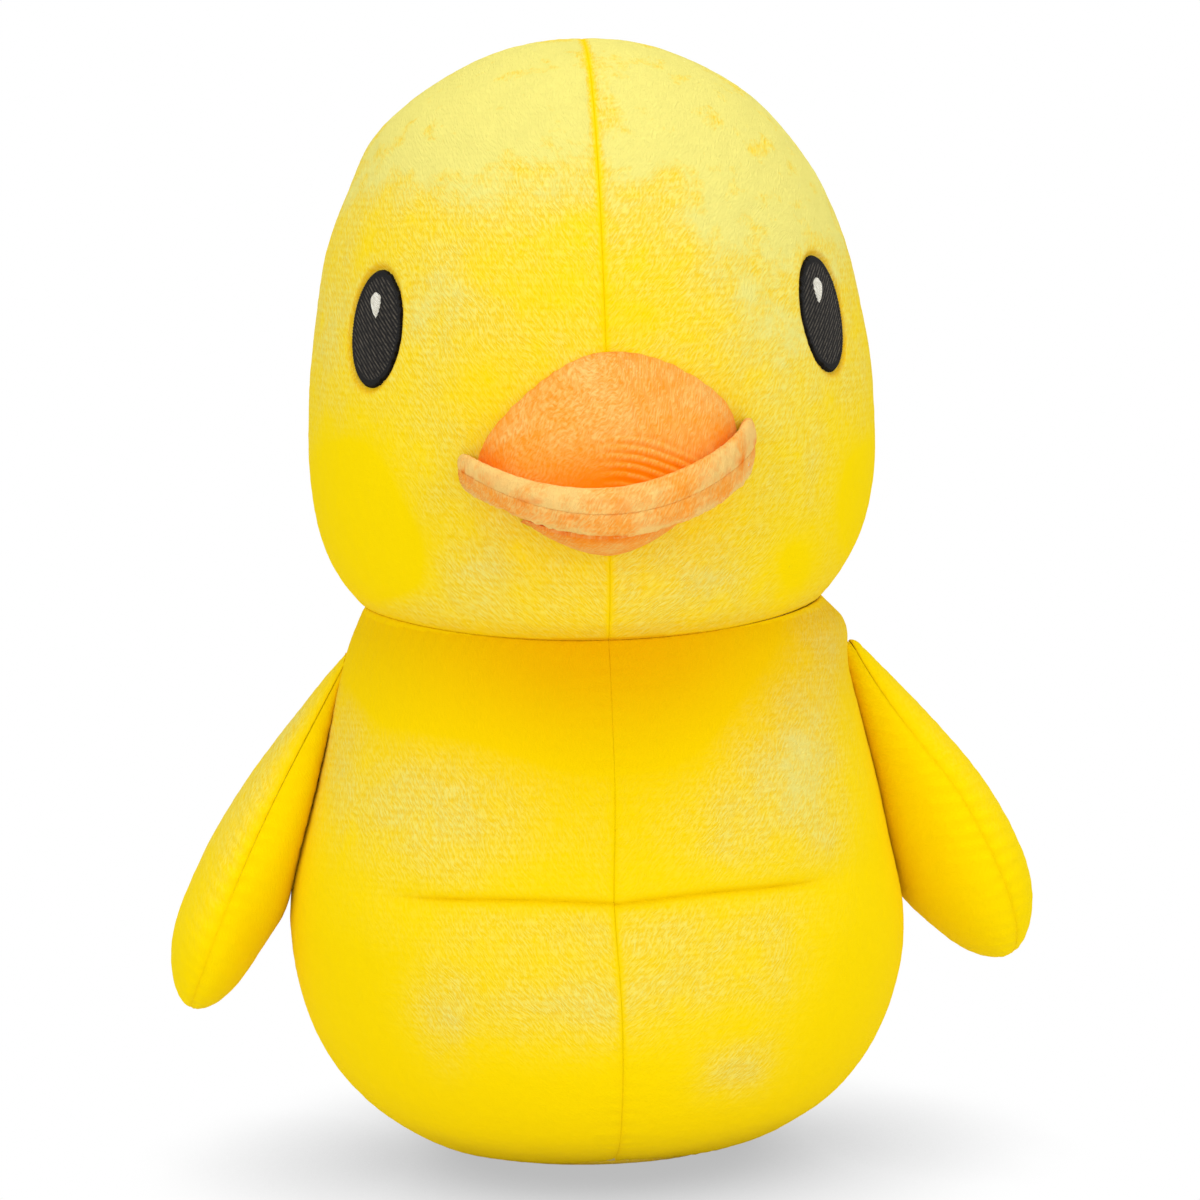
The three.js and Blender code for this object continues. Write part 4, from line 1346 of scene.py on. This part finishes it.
def eye_patch(side_name):
    """The black oval: thread rows inside, border stitches across the edge, ends left ragged.
    Towards the bill, tufts of pile reach in between the border stitches."""
    p, q = disc_grid(*EYE_GRID)
    angle, out = np.arctan2(q, p), np.hypot(p, q)
    wander = TUFT_WANDER[0] * np.sin(TUFT_WANDER[1] * angle)
    tufts = eased(0, 0.5, -p) * (1 + np.sin(PILE_TUFTS * angle + wander)) / 2
    ends = RAGGED * np.abs(np.sin(RAGGED_ENDS * angle)) - TUFT_LENGTH * tufts
    ragged = 1 + ends * eased(RAGGED_FROM, 1, out)
    across, up = p * ragged * EYE_HALF_WIDTH, q * ragged * EYE_HALF_TALL
    from_edge = (1 - out) * (EYE_HALF_WIDTH + EYE_HALF_TALL) / 2
    border = 1 - eased(EYE_BORDER - BORDER_BLEND, EYE_BORDER, from_edge)
    row = (across * math.sin(THREAD_SLANT) - up * math.cos(THREAD_SLANT)) / THREAD_PITCH
    stitch = (across * math.cos(THREAD_SLANT) + up * math.sin(THREAD_SLANT)) / STITCH_LENGTH
    strand = np.abs(np.sin(np.pi * row)) ** ROUNDNESS
    dive = np.abs(np.sin(np.pi * (stitch + STITCH_SHIFT * np.floor(row)))) ** DIVE_ROUNDNESS
    crossing = np.abs(np.sin(BORDER_STITCHES * angle)) ** ROUNDNESS
    inside = strand * (1 - STITCH_DIVE + STITCH_DIVE * dive)
    over_edge = BORDER_RIDGE * crossing + BORDER_LEVEL
    height = THREAD_HEIGHT * ((1 - border) * inside + border * over_edge)
    height = height - EDGE_DROP * (1 - eased(0, EDGE_WIDE, from_edge))
    # ridge masks the painted highlight on the crests of the rows, weaker over the border.
    ridge = np.clip(height / THREAD_HEIGHT, 0, 1) * (1 - BORDER_RIDGE * border)
    side, name = SIGN[side_name], f"{side_name}_eye_thread"
    return thread_piece(name, side, side * across, up, height, ridge, EYE_THICKNESS)


HIGHLIGHT_RISE, HIGHLIGHT_OUT = 3.8, {1: -0.7, -1: 0.25}  # from the middle of the eye
HIGHLIGHT_HALF_WIDTH, HIGHLIGHT_HALF_TALL = 1.75, 2.1
HIGHLIGHT_GRID = (65, 49)
LEAF_WIDTH, LEAF_OPENS = 0.62, 0.38  # share of its width in the middle, and what its top adds
LEAF_LEANS = 0.35
FAN_FOOT, STRAND_TURNS, TOP_TURNS = 1.35, 8.5, 9
TOP_RAGGED, STRAND_HEIGHT, LEAF_DROP = 0.1, 0.2, 0.3
LEAF_INSIDE = -0.1  # its inner side lies this much above the head, on the black thread


def highlight_patch(side_name):
    """The white leaf: five strands that fan out from its foot, broadest above the middle."""
    side, name = SIGN[side_name], f"{side_name}_eye_glint"
    p, q = disc_grid(*HIGHLIGHT_GRID)
    fan = p * np.clip(LEAF_WIDTH + LEAF_OPENS * q, 0, 1)
    strand = np.arctan2(fan, q + FAN_FOOT)
    across = side * (fan * HIGHLIGHT_HALF_WIDTH + LEAF_LEANS * q + HIGHLIGHT_OUT[side])
    top = 1 + TOP_RAGGED * np.abs(np.cos(TOP_TURNS * strand)) * (q > 0)
    up = q * HIGHLIGHT_HALF_TALL * top + HIGHLIGHT_RISE
    height = THREAD_HEIGHT + STRAND_HEIGHT * np.abs(np.cos(STRAND_TURNS * strand))
    height = height - LEAF_DROP * eased(0.9, 1, np.hypot(p, q))
    return thread_piece(name, side, across, up, height, np.ones(p.shape), LEAF_INSIDE)


threads = []
for side_name in SIGN:
    threads.append((eye_patch(side_name), f"{side_name}_eye_embroidery", "black_thread"))
    threads.append((highlight_patch(side_name), f"{side_name}_eye_highlight", "white_thread"))
    print(side_name, "eye has", len(threads[-2][0].data.polygons), "faces")

# %% [markdown]
# ## Finishes
# Each finish is named for the real material. One function turns a colour written as on the web
# into the linear numbers that the shader needs, and one adds a node with its settings and links.

# %% Colour and node helpers
def linear(colour):
    """sRGB to linear: c / 12.92 up to 0.04045, else ((c + 0.055) / 1.055)^2.4."""
    parts = [int(colour[i : i + 2], 16) / 255 for i in (1, 3, 5)]
    return [c / 12.92 if c <= 0.04045 else ((c + 0.055) / 1.055) ** 2.4 for c in parts] + [1]


def add(tree, kind, settings=None, inputs=None):
    """Adds a node. Settings are its own values. Inputs are keyed by name or number, and each is
    a value or the output of another node."""
    node = tree.nodes.new(kind)
    for name, value in (settings or {}).items():
        setattr(node, name, value)
    for key, value in (inputs or {}).items():
        socket = node.inputs[key]
        if isinstance(value, bpy.types.NodeSocket):
            tree.links.new(value, socket)
        else:
            socket.default_value = value
    return node


def new_finish(name, inputs):
    """A node material with its output and its shader, which has these inputs."""
    material = bpy.data.materials.new(name)
    material.use_nodes = True
    tree = material.node_tree
    tree.nodes.clear()
    shader = add(tree, "ShaderNodeBsdfPrincipled", None, inputs)
    add(tree, "ShaderNodeOutputMaterial", None, {"Surface": shader.outputs["BSDF"]})
    return material, tree, shader


def maths(tree, operation, a, b=0.0, c=0.0, clamp=False):
    """The output of one sum of two or three values."""
    settings = {"operation": operation, "use_clamp": clamp}
    return add(tree, "ShaderNodeMath", settings, {0: a, 1: b, 2: c}).outputs["Value"]


MIX_A, MIX_B, MIX_RESULT = 6, 7, 2  # numbers of the mix node's colour sockets


def blend_colours(tree, share, a, b):
    """Colour a where the share is 0, b where it is 1."""
    inputs = {"Factor": share, MIX_A: a, MIX_B: b}
    return add(tree, "ShaderNodeMix", {"data_type": "RGBA"}, inputs).outputs[MIX_RESULT]


def colour_and_bump(tree, shader, colour, height, strength, depth):
    """Links the shader's colour, and its normal to a bump of the height. Depth is in millimetres."""
    bump = add(tree, "ShaderNodeBump", None, {
        "Height": height, "Strength": strength, "Distance": depth * MM})
    tree.links.new(colour, shader.inputs["Base Color"])
    tree.links.new(bump.outputs["Normal"], shader.inputs["Normal"])


def seen_directly(tree):
    """1 for a ray from the camera, a mirror or a pane, 0 for the light that falls on a thing."""
    rays = add(tree, "ShaderNodeLightPath").outputs
    seen = maths(tree, "ADD", rays["Is Camera Ray"], rays["Is Glossy Ray"])
    return maths(tree, "ADD", seen, rays["Is Transmission Ray"], clamp=True)


# %% [markdown]
# ## Velour
# Velour is a weft-knitted cloth with its loops sheared to a short pile, about 2 mm long. Its pile
# lies in streaks about half a millimetre wide, and the rows of the knitting show through as faint
# lines 1.2 mm apart. Fibre tips catch light at a grazing angle, which is what sheen is for. The
# streaks follow the cloth's own map, turned to the way that the pile was stroked.

# %% Velour finish
STREAK_LENGTH, STREAK_WIDTH = 1.8, 0.36  # millimetres
ROW_PITCH, ROW_SHOWS = 1.2, 0.1  # how much the rows of knitting add to the pile
CLOTH = 1 / UV_PER_MM  # millimetres of cloth in one unit of its map
WANDER_SIZE, WANDER = 7, 2.4  # millimetres
PATCH_SIZE, PATCH_RANGE = 8, (0.35, 1.65)  # the noise that breaks the edges of the patches
TUFT_TONE = 0.45
# Levels of the painted shade between tufts.
GAP_LEVEL, LEAST_GAPS = 0.8, 0.06
SEAM_DEEP = 0.7
BUMP_LEAST = 0.3


def streaks(tree, cloth, turn, length, width, seed):
    """Noise drawn out along the pile, from 0 to 1, on a map that wanders by a millimetre or two."""
    wander = add(tree, "ShaderNodeTexNoise", {"noise_dimensions": "3D"}, {
        "Vector": cloth, "Scale": CLOTH / WANDER_SIZE, "Detail": 1.0})
    reach = WANDER * UV_PER_MM
    shift = add(tree, "ShaderNodeVectorMath", {"operation": "MULTIPLY_ADD"}, {
        0: wander.outputs["Color"], 1: (reach, reach, 0.0), 2: cloth})
    turned = add(tree, "ShaderNodeMapping", {"vector_type": "POINT"}, {
        "Vector": shift.outputs["Vector"],
        "Rotation": (0, 0, turn),
        "Location": (seed, 0.3 * seed, 0)})
    scaled = add(tree, "ShaderNodeVectorMath", {"operation": "MULTIPLY"}, {
        0: turned.outputs["Vector"], 1: (CLOTH / length, CLOTH / width, 0.0)})
    noise = add(tree, "ShaderNodeTexNoise", {"noise_dimensions": "2D"}, {
        "Vector": scaled.outputs["Vector"], "Scale": 1.0, "Detail": 2.0, "Roughness": 0.55})
    ramp = add(tree, "ShaderNodeMapRange", {"interpolation_type": "SMOOTHSTEP"}, {
        "Value": noise.outputs["Fac"], "From Min": 0.38, "From Max": 0.64})
    return ramp.outputs["Result"]


def velour(name, deepest_shade, deep, rich, pale, tips, turn, contrast):
    """Velour whose pile was stroked at an angle. Deep is painted shade in folds, seams and nooks, and
    the darkest colour painted shade at the bottom of the bill's hollow; rich is where the pile lies
    smooth, pale where it is brushed up, and tips is the sheen of the fibre ends. Between tufts the
    cloth gets painted shade, by the contrast, most where the pile is half brushed up: 4 b (1 - b)."""
    material, tree, shader = new_finish(name, {
        "Roughness": 0.9, "Specular IOR Level": 0.03,
        "Sheen Weight": 0.1, "Sheen Roughness": 0.45, "Sheen Tint": linear(tips)})
    cloth = add(tree, "ShaderNodeUVMap", {"uv_map": "cloth"}).outputs["UV"]
    place = add(tree, "ShaderNodeTexCoord").outputs["Object"]
    layer = {
        key: add(tree, "ShaderNodeAttribute", {"attribute_name": key}).outputs["Fac"]
        for key in ("brushed", "nook", "seam")
    }
    patches = add(tree, "ShaderNodeTexNoise", None, {
        "Vector": place, "Scale": 1 / (PATCH_SIZE * MM), "Detail": 4.0, "Roughness": 0.65})
    uneven = add(tree, "ShaderNodeMapRange", None, {
        "Value": patches.outputs["Fac"], "From Min": 0.3, "From Max": 0.7,
        "To Min": PATCH_RANGE[0], "To Max": PATCH_RANGE[1]})
    brushed = maths(tree, "MULTIPLY", layer["brushed"], uneven.outputs["Result"], clamp=True)
    coarse = streaks(tree, cloth, turn, STREAK_LENGTH, STREAK_WIDTH, 0.0)
    finer = streaks(tree, cloth, turn * 0.8, STREAK_LENGTH / 2, STREAK_WIDTH * 0.75, 3.7)
    pile = maths(tree, "MULTIPLY_ADD", finer, 0.4, maths(tree, "MULTIPLY", coarse, 0.6))
    up = add(tree, "ShaderNodeSeparateXYZ", None, {"Vector": cloth}).outputs["Y"]
    rows = maths(tree, "SINE", maths(tree, "MULTIPLY", up, 2 * math.pi * CLOTH / ROW_PITCH))
    pile = maths(tree, "MULTIPLY_ADD", rows, ROW_SHOWS, pile)
    down = maths(tree, "MULTIPLY_ADD", brushed, -4.0, 4.0)
    half_up = maths(tree, "MULTIPLY", brushed, down)
    tuft = maths(tree, "MULTIPLY", maths(tree, "SUBTRACT", pile, 0.5), half_up)
    tone = maths(tree, "MULTIPLY_ADD", tuft, TUFT_TONE, brushed, clamp=True)
    colour = blend_colours(tree, tone, linear(rich), linear(pale))
    # Painted shade between tufts of pile.
    tuft_gap_shade = maths(tree, "MULTIPLY", maths(tree, "SUBTRACT", GAP_LEVEL, pile, clamp=True), contrast)
    tuft_gap_shade = maths(tree, "MULTIPLY", tuft_gap_shade, maths(tree, "ADD", half_up, LEAST_GAPS), clamp=True)
    colour = blend_colours(tree, tuft_gap_shade, colour, linear(deep))
    # Painted shade beside seams and in folds and nooks, and darkest in the bill's hollow.
    sewn_shade = maths(tree, "MULTIPLY", layer["seam"], SEAM_DEEP)
    fold_shade = maths(tree, "MAXIMUM", layer["nook"], sewn_shade, clamp=True)
    colour = blend_colours(tree, fold_shade, colour, linear(deep))
    between = maths(tree, "SUBTRACT", layer["nook"], 1.0, clamp=True)
    colour = blend_colours(tree, between, colour, linear(deepest_shade))
    height = maths(tree, "MULTIPLY", pile, maths(tree, "ADD", brushed, BUMP_LEAST))
    colour_and_bump(tree, shader, colour, height, strength=0.6, depth=0.2)
    return material


# Deep and the darkest colour are painted shade; rich and pale are the pile's own colours, and tips
# tints the sheen.
YELLOW = {
    "deepest_shade": "#e87800", "deep": "#e9ac00", "rich": "#ffdf00", "pale": "#f5ea80",
    "tips": "#f4ea48", "contrast": 0.42}
yellow_velour = {
    "left": velour("yellow_velour_left", turn=math.radians(-50), **YELLOW),
    "right": velour("yellow_velour_right", turn=math.radians(-128), **YELLOW),
}
# For the orange: the painted shade colours first, then the pile's rich and pale, then the sheen's tint.
orange_velour = velour(
    "orange_velour", "#ee6200", "#fa7a00", "#fc9812", "#fdd07c", "#ffc060", math.radians(-60), 0.3
)
print("velour materials:", [m.name for m in bpy.data.materials if "velour" in m.name])

# %% [markdown]
# ## Thread, fibre fill and calico
# Rayon thread is smooth and has a soft shine across its strands. Its rows are already ridges in
# the mesh; the finish adds the strands' own unevenness and a painted highlight on the crests of
# the rows. The filling and the pouch stay inside, but have their own finish: crimped white
# polyester fibre, and a plain woven calico.

# %% Thread, fill and calico finishes
CALICO_PITCH = 0.6  # millimetres from one thread to the next


def rayon_thread(name, dark, light, roughness):
    """Embroidery thread in short streaks: a painted highlight on the crests of the rows, and dark
    between.
    """
    material, tree, shader = new_finish(name, {"Roughness": roughness, "Specular IOR Level": 0.2})
    cloth = add(tree, "ShaderNodeUVMap", {"uv_map": "cloth"}).outputs["UV"]
    strands = streaks(tree, cloth, THREAD_SLANT, length=1.6, width=0.16, seed=1.3)
    ridge = add(tree, "ShaderNodeAttribute", {"attribute_name": "ridge"}).outputs["Fac"]
    crest_highlight = maths(tree, "POWER", ridge, 5.0)
    lit = maths(tree, "MULTIPLY", maths(tree, "MULTIPLY_ADD", strands, 0.7, 0.3), crest_highlight, clamp=True)
    colour = blend_colours(tree, lit, linear(dark), linear(light))
    colour_and_bump(tree, shader, colour, strands, strength=0.3, depth=0.05)
    return material


def fibre_fill(name):
    """Polyester fibre: white, with fine crimped strands."""
    material, tree, shader = new_finish(name, {"Roughness": 1.0})
    place = add(tree, "ShaderNodeTexCoord").outputs["Object"]
    curls = add(tree, "ShaderNodeTexNoise", None, {
        "Vector": place, "Scale": 1 / (2.5 * MM), "Detail": 4.0, "Distortion": 1.8})
    colour = blend_colours(tree, curls.outputs["Fac"], linear("#e9e9e4"), linear("#fbfbf8"))
    colour_and_bump(tree, shader, colour, curls.outputs["Fac"], strength=0.8, depth=0.8)
    return material


def calico(name):
    """Plain weave: two sets of threads, sin(x) sin(z), on unbleached cotton."""
    material, tree, shader = new_finish(name, {"Roughness": 0.95})
    place = add(tree, "ShaderNodeTexCoord").outputs["Object"]
    split = add(tree, "ShaderNodeSeparateXYZ", None, {"Vector": place})
    pitch = 2 * math.pi / (CALICO_PITCH * MM)
    warp = maths(tree, "SINE", maths(tree, "MULTIPLY", split.outputs["X"], pitch))
    weft = maths(tree, "SINE", maths(tree, "MULTIPLY", split.outputs["Z"], pitch))
    weave = maths(tree, "MULTIPLY_ADD", maths(tree, "MULTIPLY", warp, weft), 0.5, 0.5)
    colour = blend_colours(tree, weave, linear("#ddd3ba"), linear("#efe8d6"))
    tree.links.new(colour, shader.inputs["Base Color"])
    return material


# The light colour of the black thread is the painted highlight on the crests of its rows.
black_thread = rayon_thread("black_rayon_thread", "#020101", "#625b50", 0.6)
white_thread = rayon_thread("white_rayon_thread", "#b9b49f", "#f4f1e6", 0.55)
polyester_fibre = fibre_fill("polyester_fibre_fill")
cotton_calico = calico("cotton_calico")

# %% [markdown]
# ## Dress the frame
# Every piece but a wing's covers rides on the body that carries it, hides the plain solid in the
# frame that it stands for, and takes its finish. The filling of the head and the body and the
# pellet pouch stay as the frame has them, and only take their finish. A wing is sewn on by its
# root, so a short stretch of its cloth would bend when the wing lifts: that stretch is only worked
# out and printed, and a wing's covers ride on no body.

# %% Where a wing bends
SEWN_ABOVE, BENDS_BELOW = 2.5, 5.0  # millimetres along the wing, from its hinge


def sewn_stretch(side_name):
    """Start and end, in metres, of the cloth that bends when a wing lifts: from the seam, which
    stays on the body, to a little way down the wing."""
    side = SIGN[side_name]
    lean = WING_SHAPES[side_name]["lean"]
    along = np.array([side * math.sin(lean), 0, -math.cos(lean)])
    hinge = np.array([side * hinge_out, 0, hinge_height])
    return tuple((hinge - SEWN_ABOVE * along) * MM), tuple((hinge + BENDS_BELOW * along) * MM)


print("the left wing bends between", *sewn_stretch("left"))

# %% Put pieces, finishes and bodies together
def dress(piece, body, node, material):
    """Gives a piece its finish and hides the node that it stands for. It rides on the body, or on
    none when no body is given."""
    piece.data.materials.append(material)
    if body is not None:
        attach(piece, body)
    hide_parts(node)


for cover, node in head_covers + body_covers:
    side_name = "left" if "left" in cover.name else "right"
    dress(cover, "duck", node, yellow_velour[side_name])
dress(base_cover, "duck", "base_panel", yellow_velour["left"])
for cover, side_name, node in wing_covers:
    dress(cover, None, node, yellow_velour[side_name])
    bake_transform(cover)
for cover, node in bill_covers:
    dress(cover, "duck", node, orange_velour)
dress(bill_fill, "duck", "upper_bill_stuffing", polyester_fibre)
for side_name, fill in wing_fills.items():
    dress(fill, f"{side_name}_wing", f"{side_name}_wing_stuffing", polyester_fibre)
for patch, node, slot in threads:
    finish = black_thread if slot == "black_thread" else white_thread
    dress(patch, "duck", node, finish)
for name, node in frame["nodes"].items():
    if name in ("head_stuffing", "body_stuffing", "pellet_pouch"):
        node.data.materials.clear()
        node.data.materials.append(cotton_calico if name == "pellet_pouch" else polyester_fibre)

# %% [markdown]
# ## Floor, light and camera
# The duck stands on a white floor in even, soft light, as in a shop's picture. The floor and the
# sky look white to the camera without more light on the duck. The soft shadow under the wings is
# painted on the floor from its ambient occlusion; a large lamp above and lamps in front light the
# duck and fill the face.

# %% Floor
FLOOR_SIZE = 6.0
# The floor's painted shadow follows the ambient occlusion within this reach, in metres.
SHADOW_REACH = 0.045
OPEN_SKY, DARKEST = (0.1, 0.84), 0.5  # share of open sky at which the paper is darkest, and white
PAINTED_FILL = (-0.01, -0.06)  # metres in front of the duck between which the shade is filled


def white_floor():
    """A pale, matt floor. To the camera it is white paper with a painted shadow, which darkens by
    the ambient occlusion where the duck covers it, so that no yellow light stains it. In front of the
    duck the painted shadow fades to white by the floor's own position."""
    material, tree, shader = new_finish("white_paper_floor", {
        "Base Color": linear("#f4f4f4"), "Roughness": 1.0, "Specular IOR Level": 0.0})
    open_sky = add(tree, "ShaderNodeAmbientOcclusion", {"samples": 16}, {"Distance": SHADOW_REACH})
    shade = add(tree, "ShaderNodeMapRange", {"interpolation_type": "LINEAR"}, {
        "Value": open_sky.outputs["AO"],
        "From Min": OPEN_SKY[0], "From Max": OPEN_SKY[1], "To Min": DARKEST})
    place = add(tree, "ShaderNodeTexCoord").outputs["Object"]
    split = add(tree, "ShaderNodeSeparateXYZ", None, {"Vector": place})
    # In front of the duck the painted shadow fades to white, by the floor's position.
    lit = add(tree, "ShaderNodeMapRange", {"interpolation_type": "SMOOTHSTEP"}, {
        "Value": split.outputs["Y"], "From Min": PAINTED_FILL[0], "From Max": PAINTED_FILL[1]})
    shade = maths(tree, "MAXIMUM", shade.outputs["Result"], lit.outputs["Result"])
    paper = add(tree, "ShaderNodeEmission", None, {"Strength": shade})
    both = add(tree, "ShaderNodeMixShader", None, {
        0: seen_directly(tree), 1: shader.outputs[0], 2: paper.outputs[0]})
    output = next(n for n in tree.nodes if n.type == "OUTPUT_MATERIAL")
    tree.links.new(both.outputs[0], output.inputs["Surface"])
    return material


half = FLOOR_SIZE / 2
corners = [(-half, -half, 0), (half, -half, 0), (half, half, 0), (-half, half, 0)]
floor_mesh = bpy.data.meshes.new("floor")
floor_mesh.from_pydata(corners, [], [(0, 1, 2, 3)])
floor = bpy.data.objects.new("floor", floor_mesh)
bpy.context.scene.collection.objects.link(floor)
floor.data.materials.append(white_floor())

# %% Sky and lamps
SKY = 0.585  # light of the sky on the duck, where 1 is the white that the camera sees
world = bpy.data.worlds.new("studio")
bpy.context.scene.world = world
world.use_nodes = True
tree = world.node_tree
tree.nodes.clear()
strength = maths(tree, "MULTIPLY_ADD", seen_directly(tree), 1 - SKY, SKY)
sky = add(tree, "ShaderNodeBackground", None, {"Color": linear("#ffffff"), "Strength": strength})
add(tree, "ShaderNodeOutputWorld", None, {"Surface": sky.outputs[0]})


def softbox(name, place, aim, size, level):
    """A square lamp. A matt surface that faces it squarely is lit to its own colour times level:
    the power is level x pi^2 x distance^2."""
    lamp = bpy.data.lights.new(name, "AREA")
    lamp.size = size
    offset = np.array(place) - np.array(aim)
    lamp.energy = level * math.pi**2 * float(offset @ offset)
    holder = bpy.data.objects.new(name, lamp)
    bpy.context.scene.collection.objects.link(holder)
    direction = Vector(aim) - Vector(place)
    holder.rotation_euler = direction.to_track_quat("-Z", "Y").to_euler()
    holder.location = place


MIDDLE = (0, 0, 0.1)
LAMP_SIZE = 0.9
FROM_ABOVE, FROM_FRONT = 0.385, 0.213  # levels
softbox("lamp_above", (0, -0.1, 1.3), MIDDLE, LAMP_SIZE, FROM_ABOVE)
softbox("lamp_front_left", (-0.9, -1.1, 0.55), MIDDLE, LAMP_SIZE, FROM_FRONT)
softbox("lamp_front_right", (0.9, -1.1, 0.55), MIDDLE, LAMP_SIZE, FROM_FRONT)
print("the sky and three lamps light the duck at", SKY, FROM_ABOVE, FROM_FRONT)

# %% Camera
LENS, SENSOR = 90, 36  # millimetres
FRAME_HEIGHT = 0.2155  # metres of duck from the bottom to the top of the picture
CAMERA_TURN = math.radians(-4.3)  # round to the duck's right
CAMERA_RISE = math.radians(5)
CAMERA_ROLL = math.radians(1.3)
AIM = (0.0015, 0, 0.1005)


def place_camera():
    """Looks at the duck from a little above and to its right, turned slightly on its own axis."""
    data = bpy.data.cameras.new("camera")
    data.lens, data.sensor_width = LENS, SENSOR
    camera = bpy.data.objects.new("camera", data)
    bpy.context.scene.collection.objects.link(camera)
    distance = FRAME_HEIGHT * LENS / SENSOR
    back = Vector((
        math.sin(CAMERA_TURN) * math.cos(CAMERA_RISE),
        -math.cos(CAMERA_TURN) * math.cos(CAMERA_RISE),
        math.sin(CAMERA_RISE),
    ))
    turn = (-back).to_track_quat("-Z", "Y").to_matrix().to_4x4()
    roll = Matrix.Rotation(-CAMERA_ROLL, 4, "Z")
    camera.matrix_world = Matrix.Translation(Vector(AIM) + back * distance) @ turn @ roll
    bpy.context.scene.camera = camera


place_camera()
bpy.context.scene.view_settings.view_transform = "Standard"
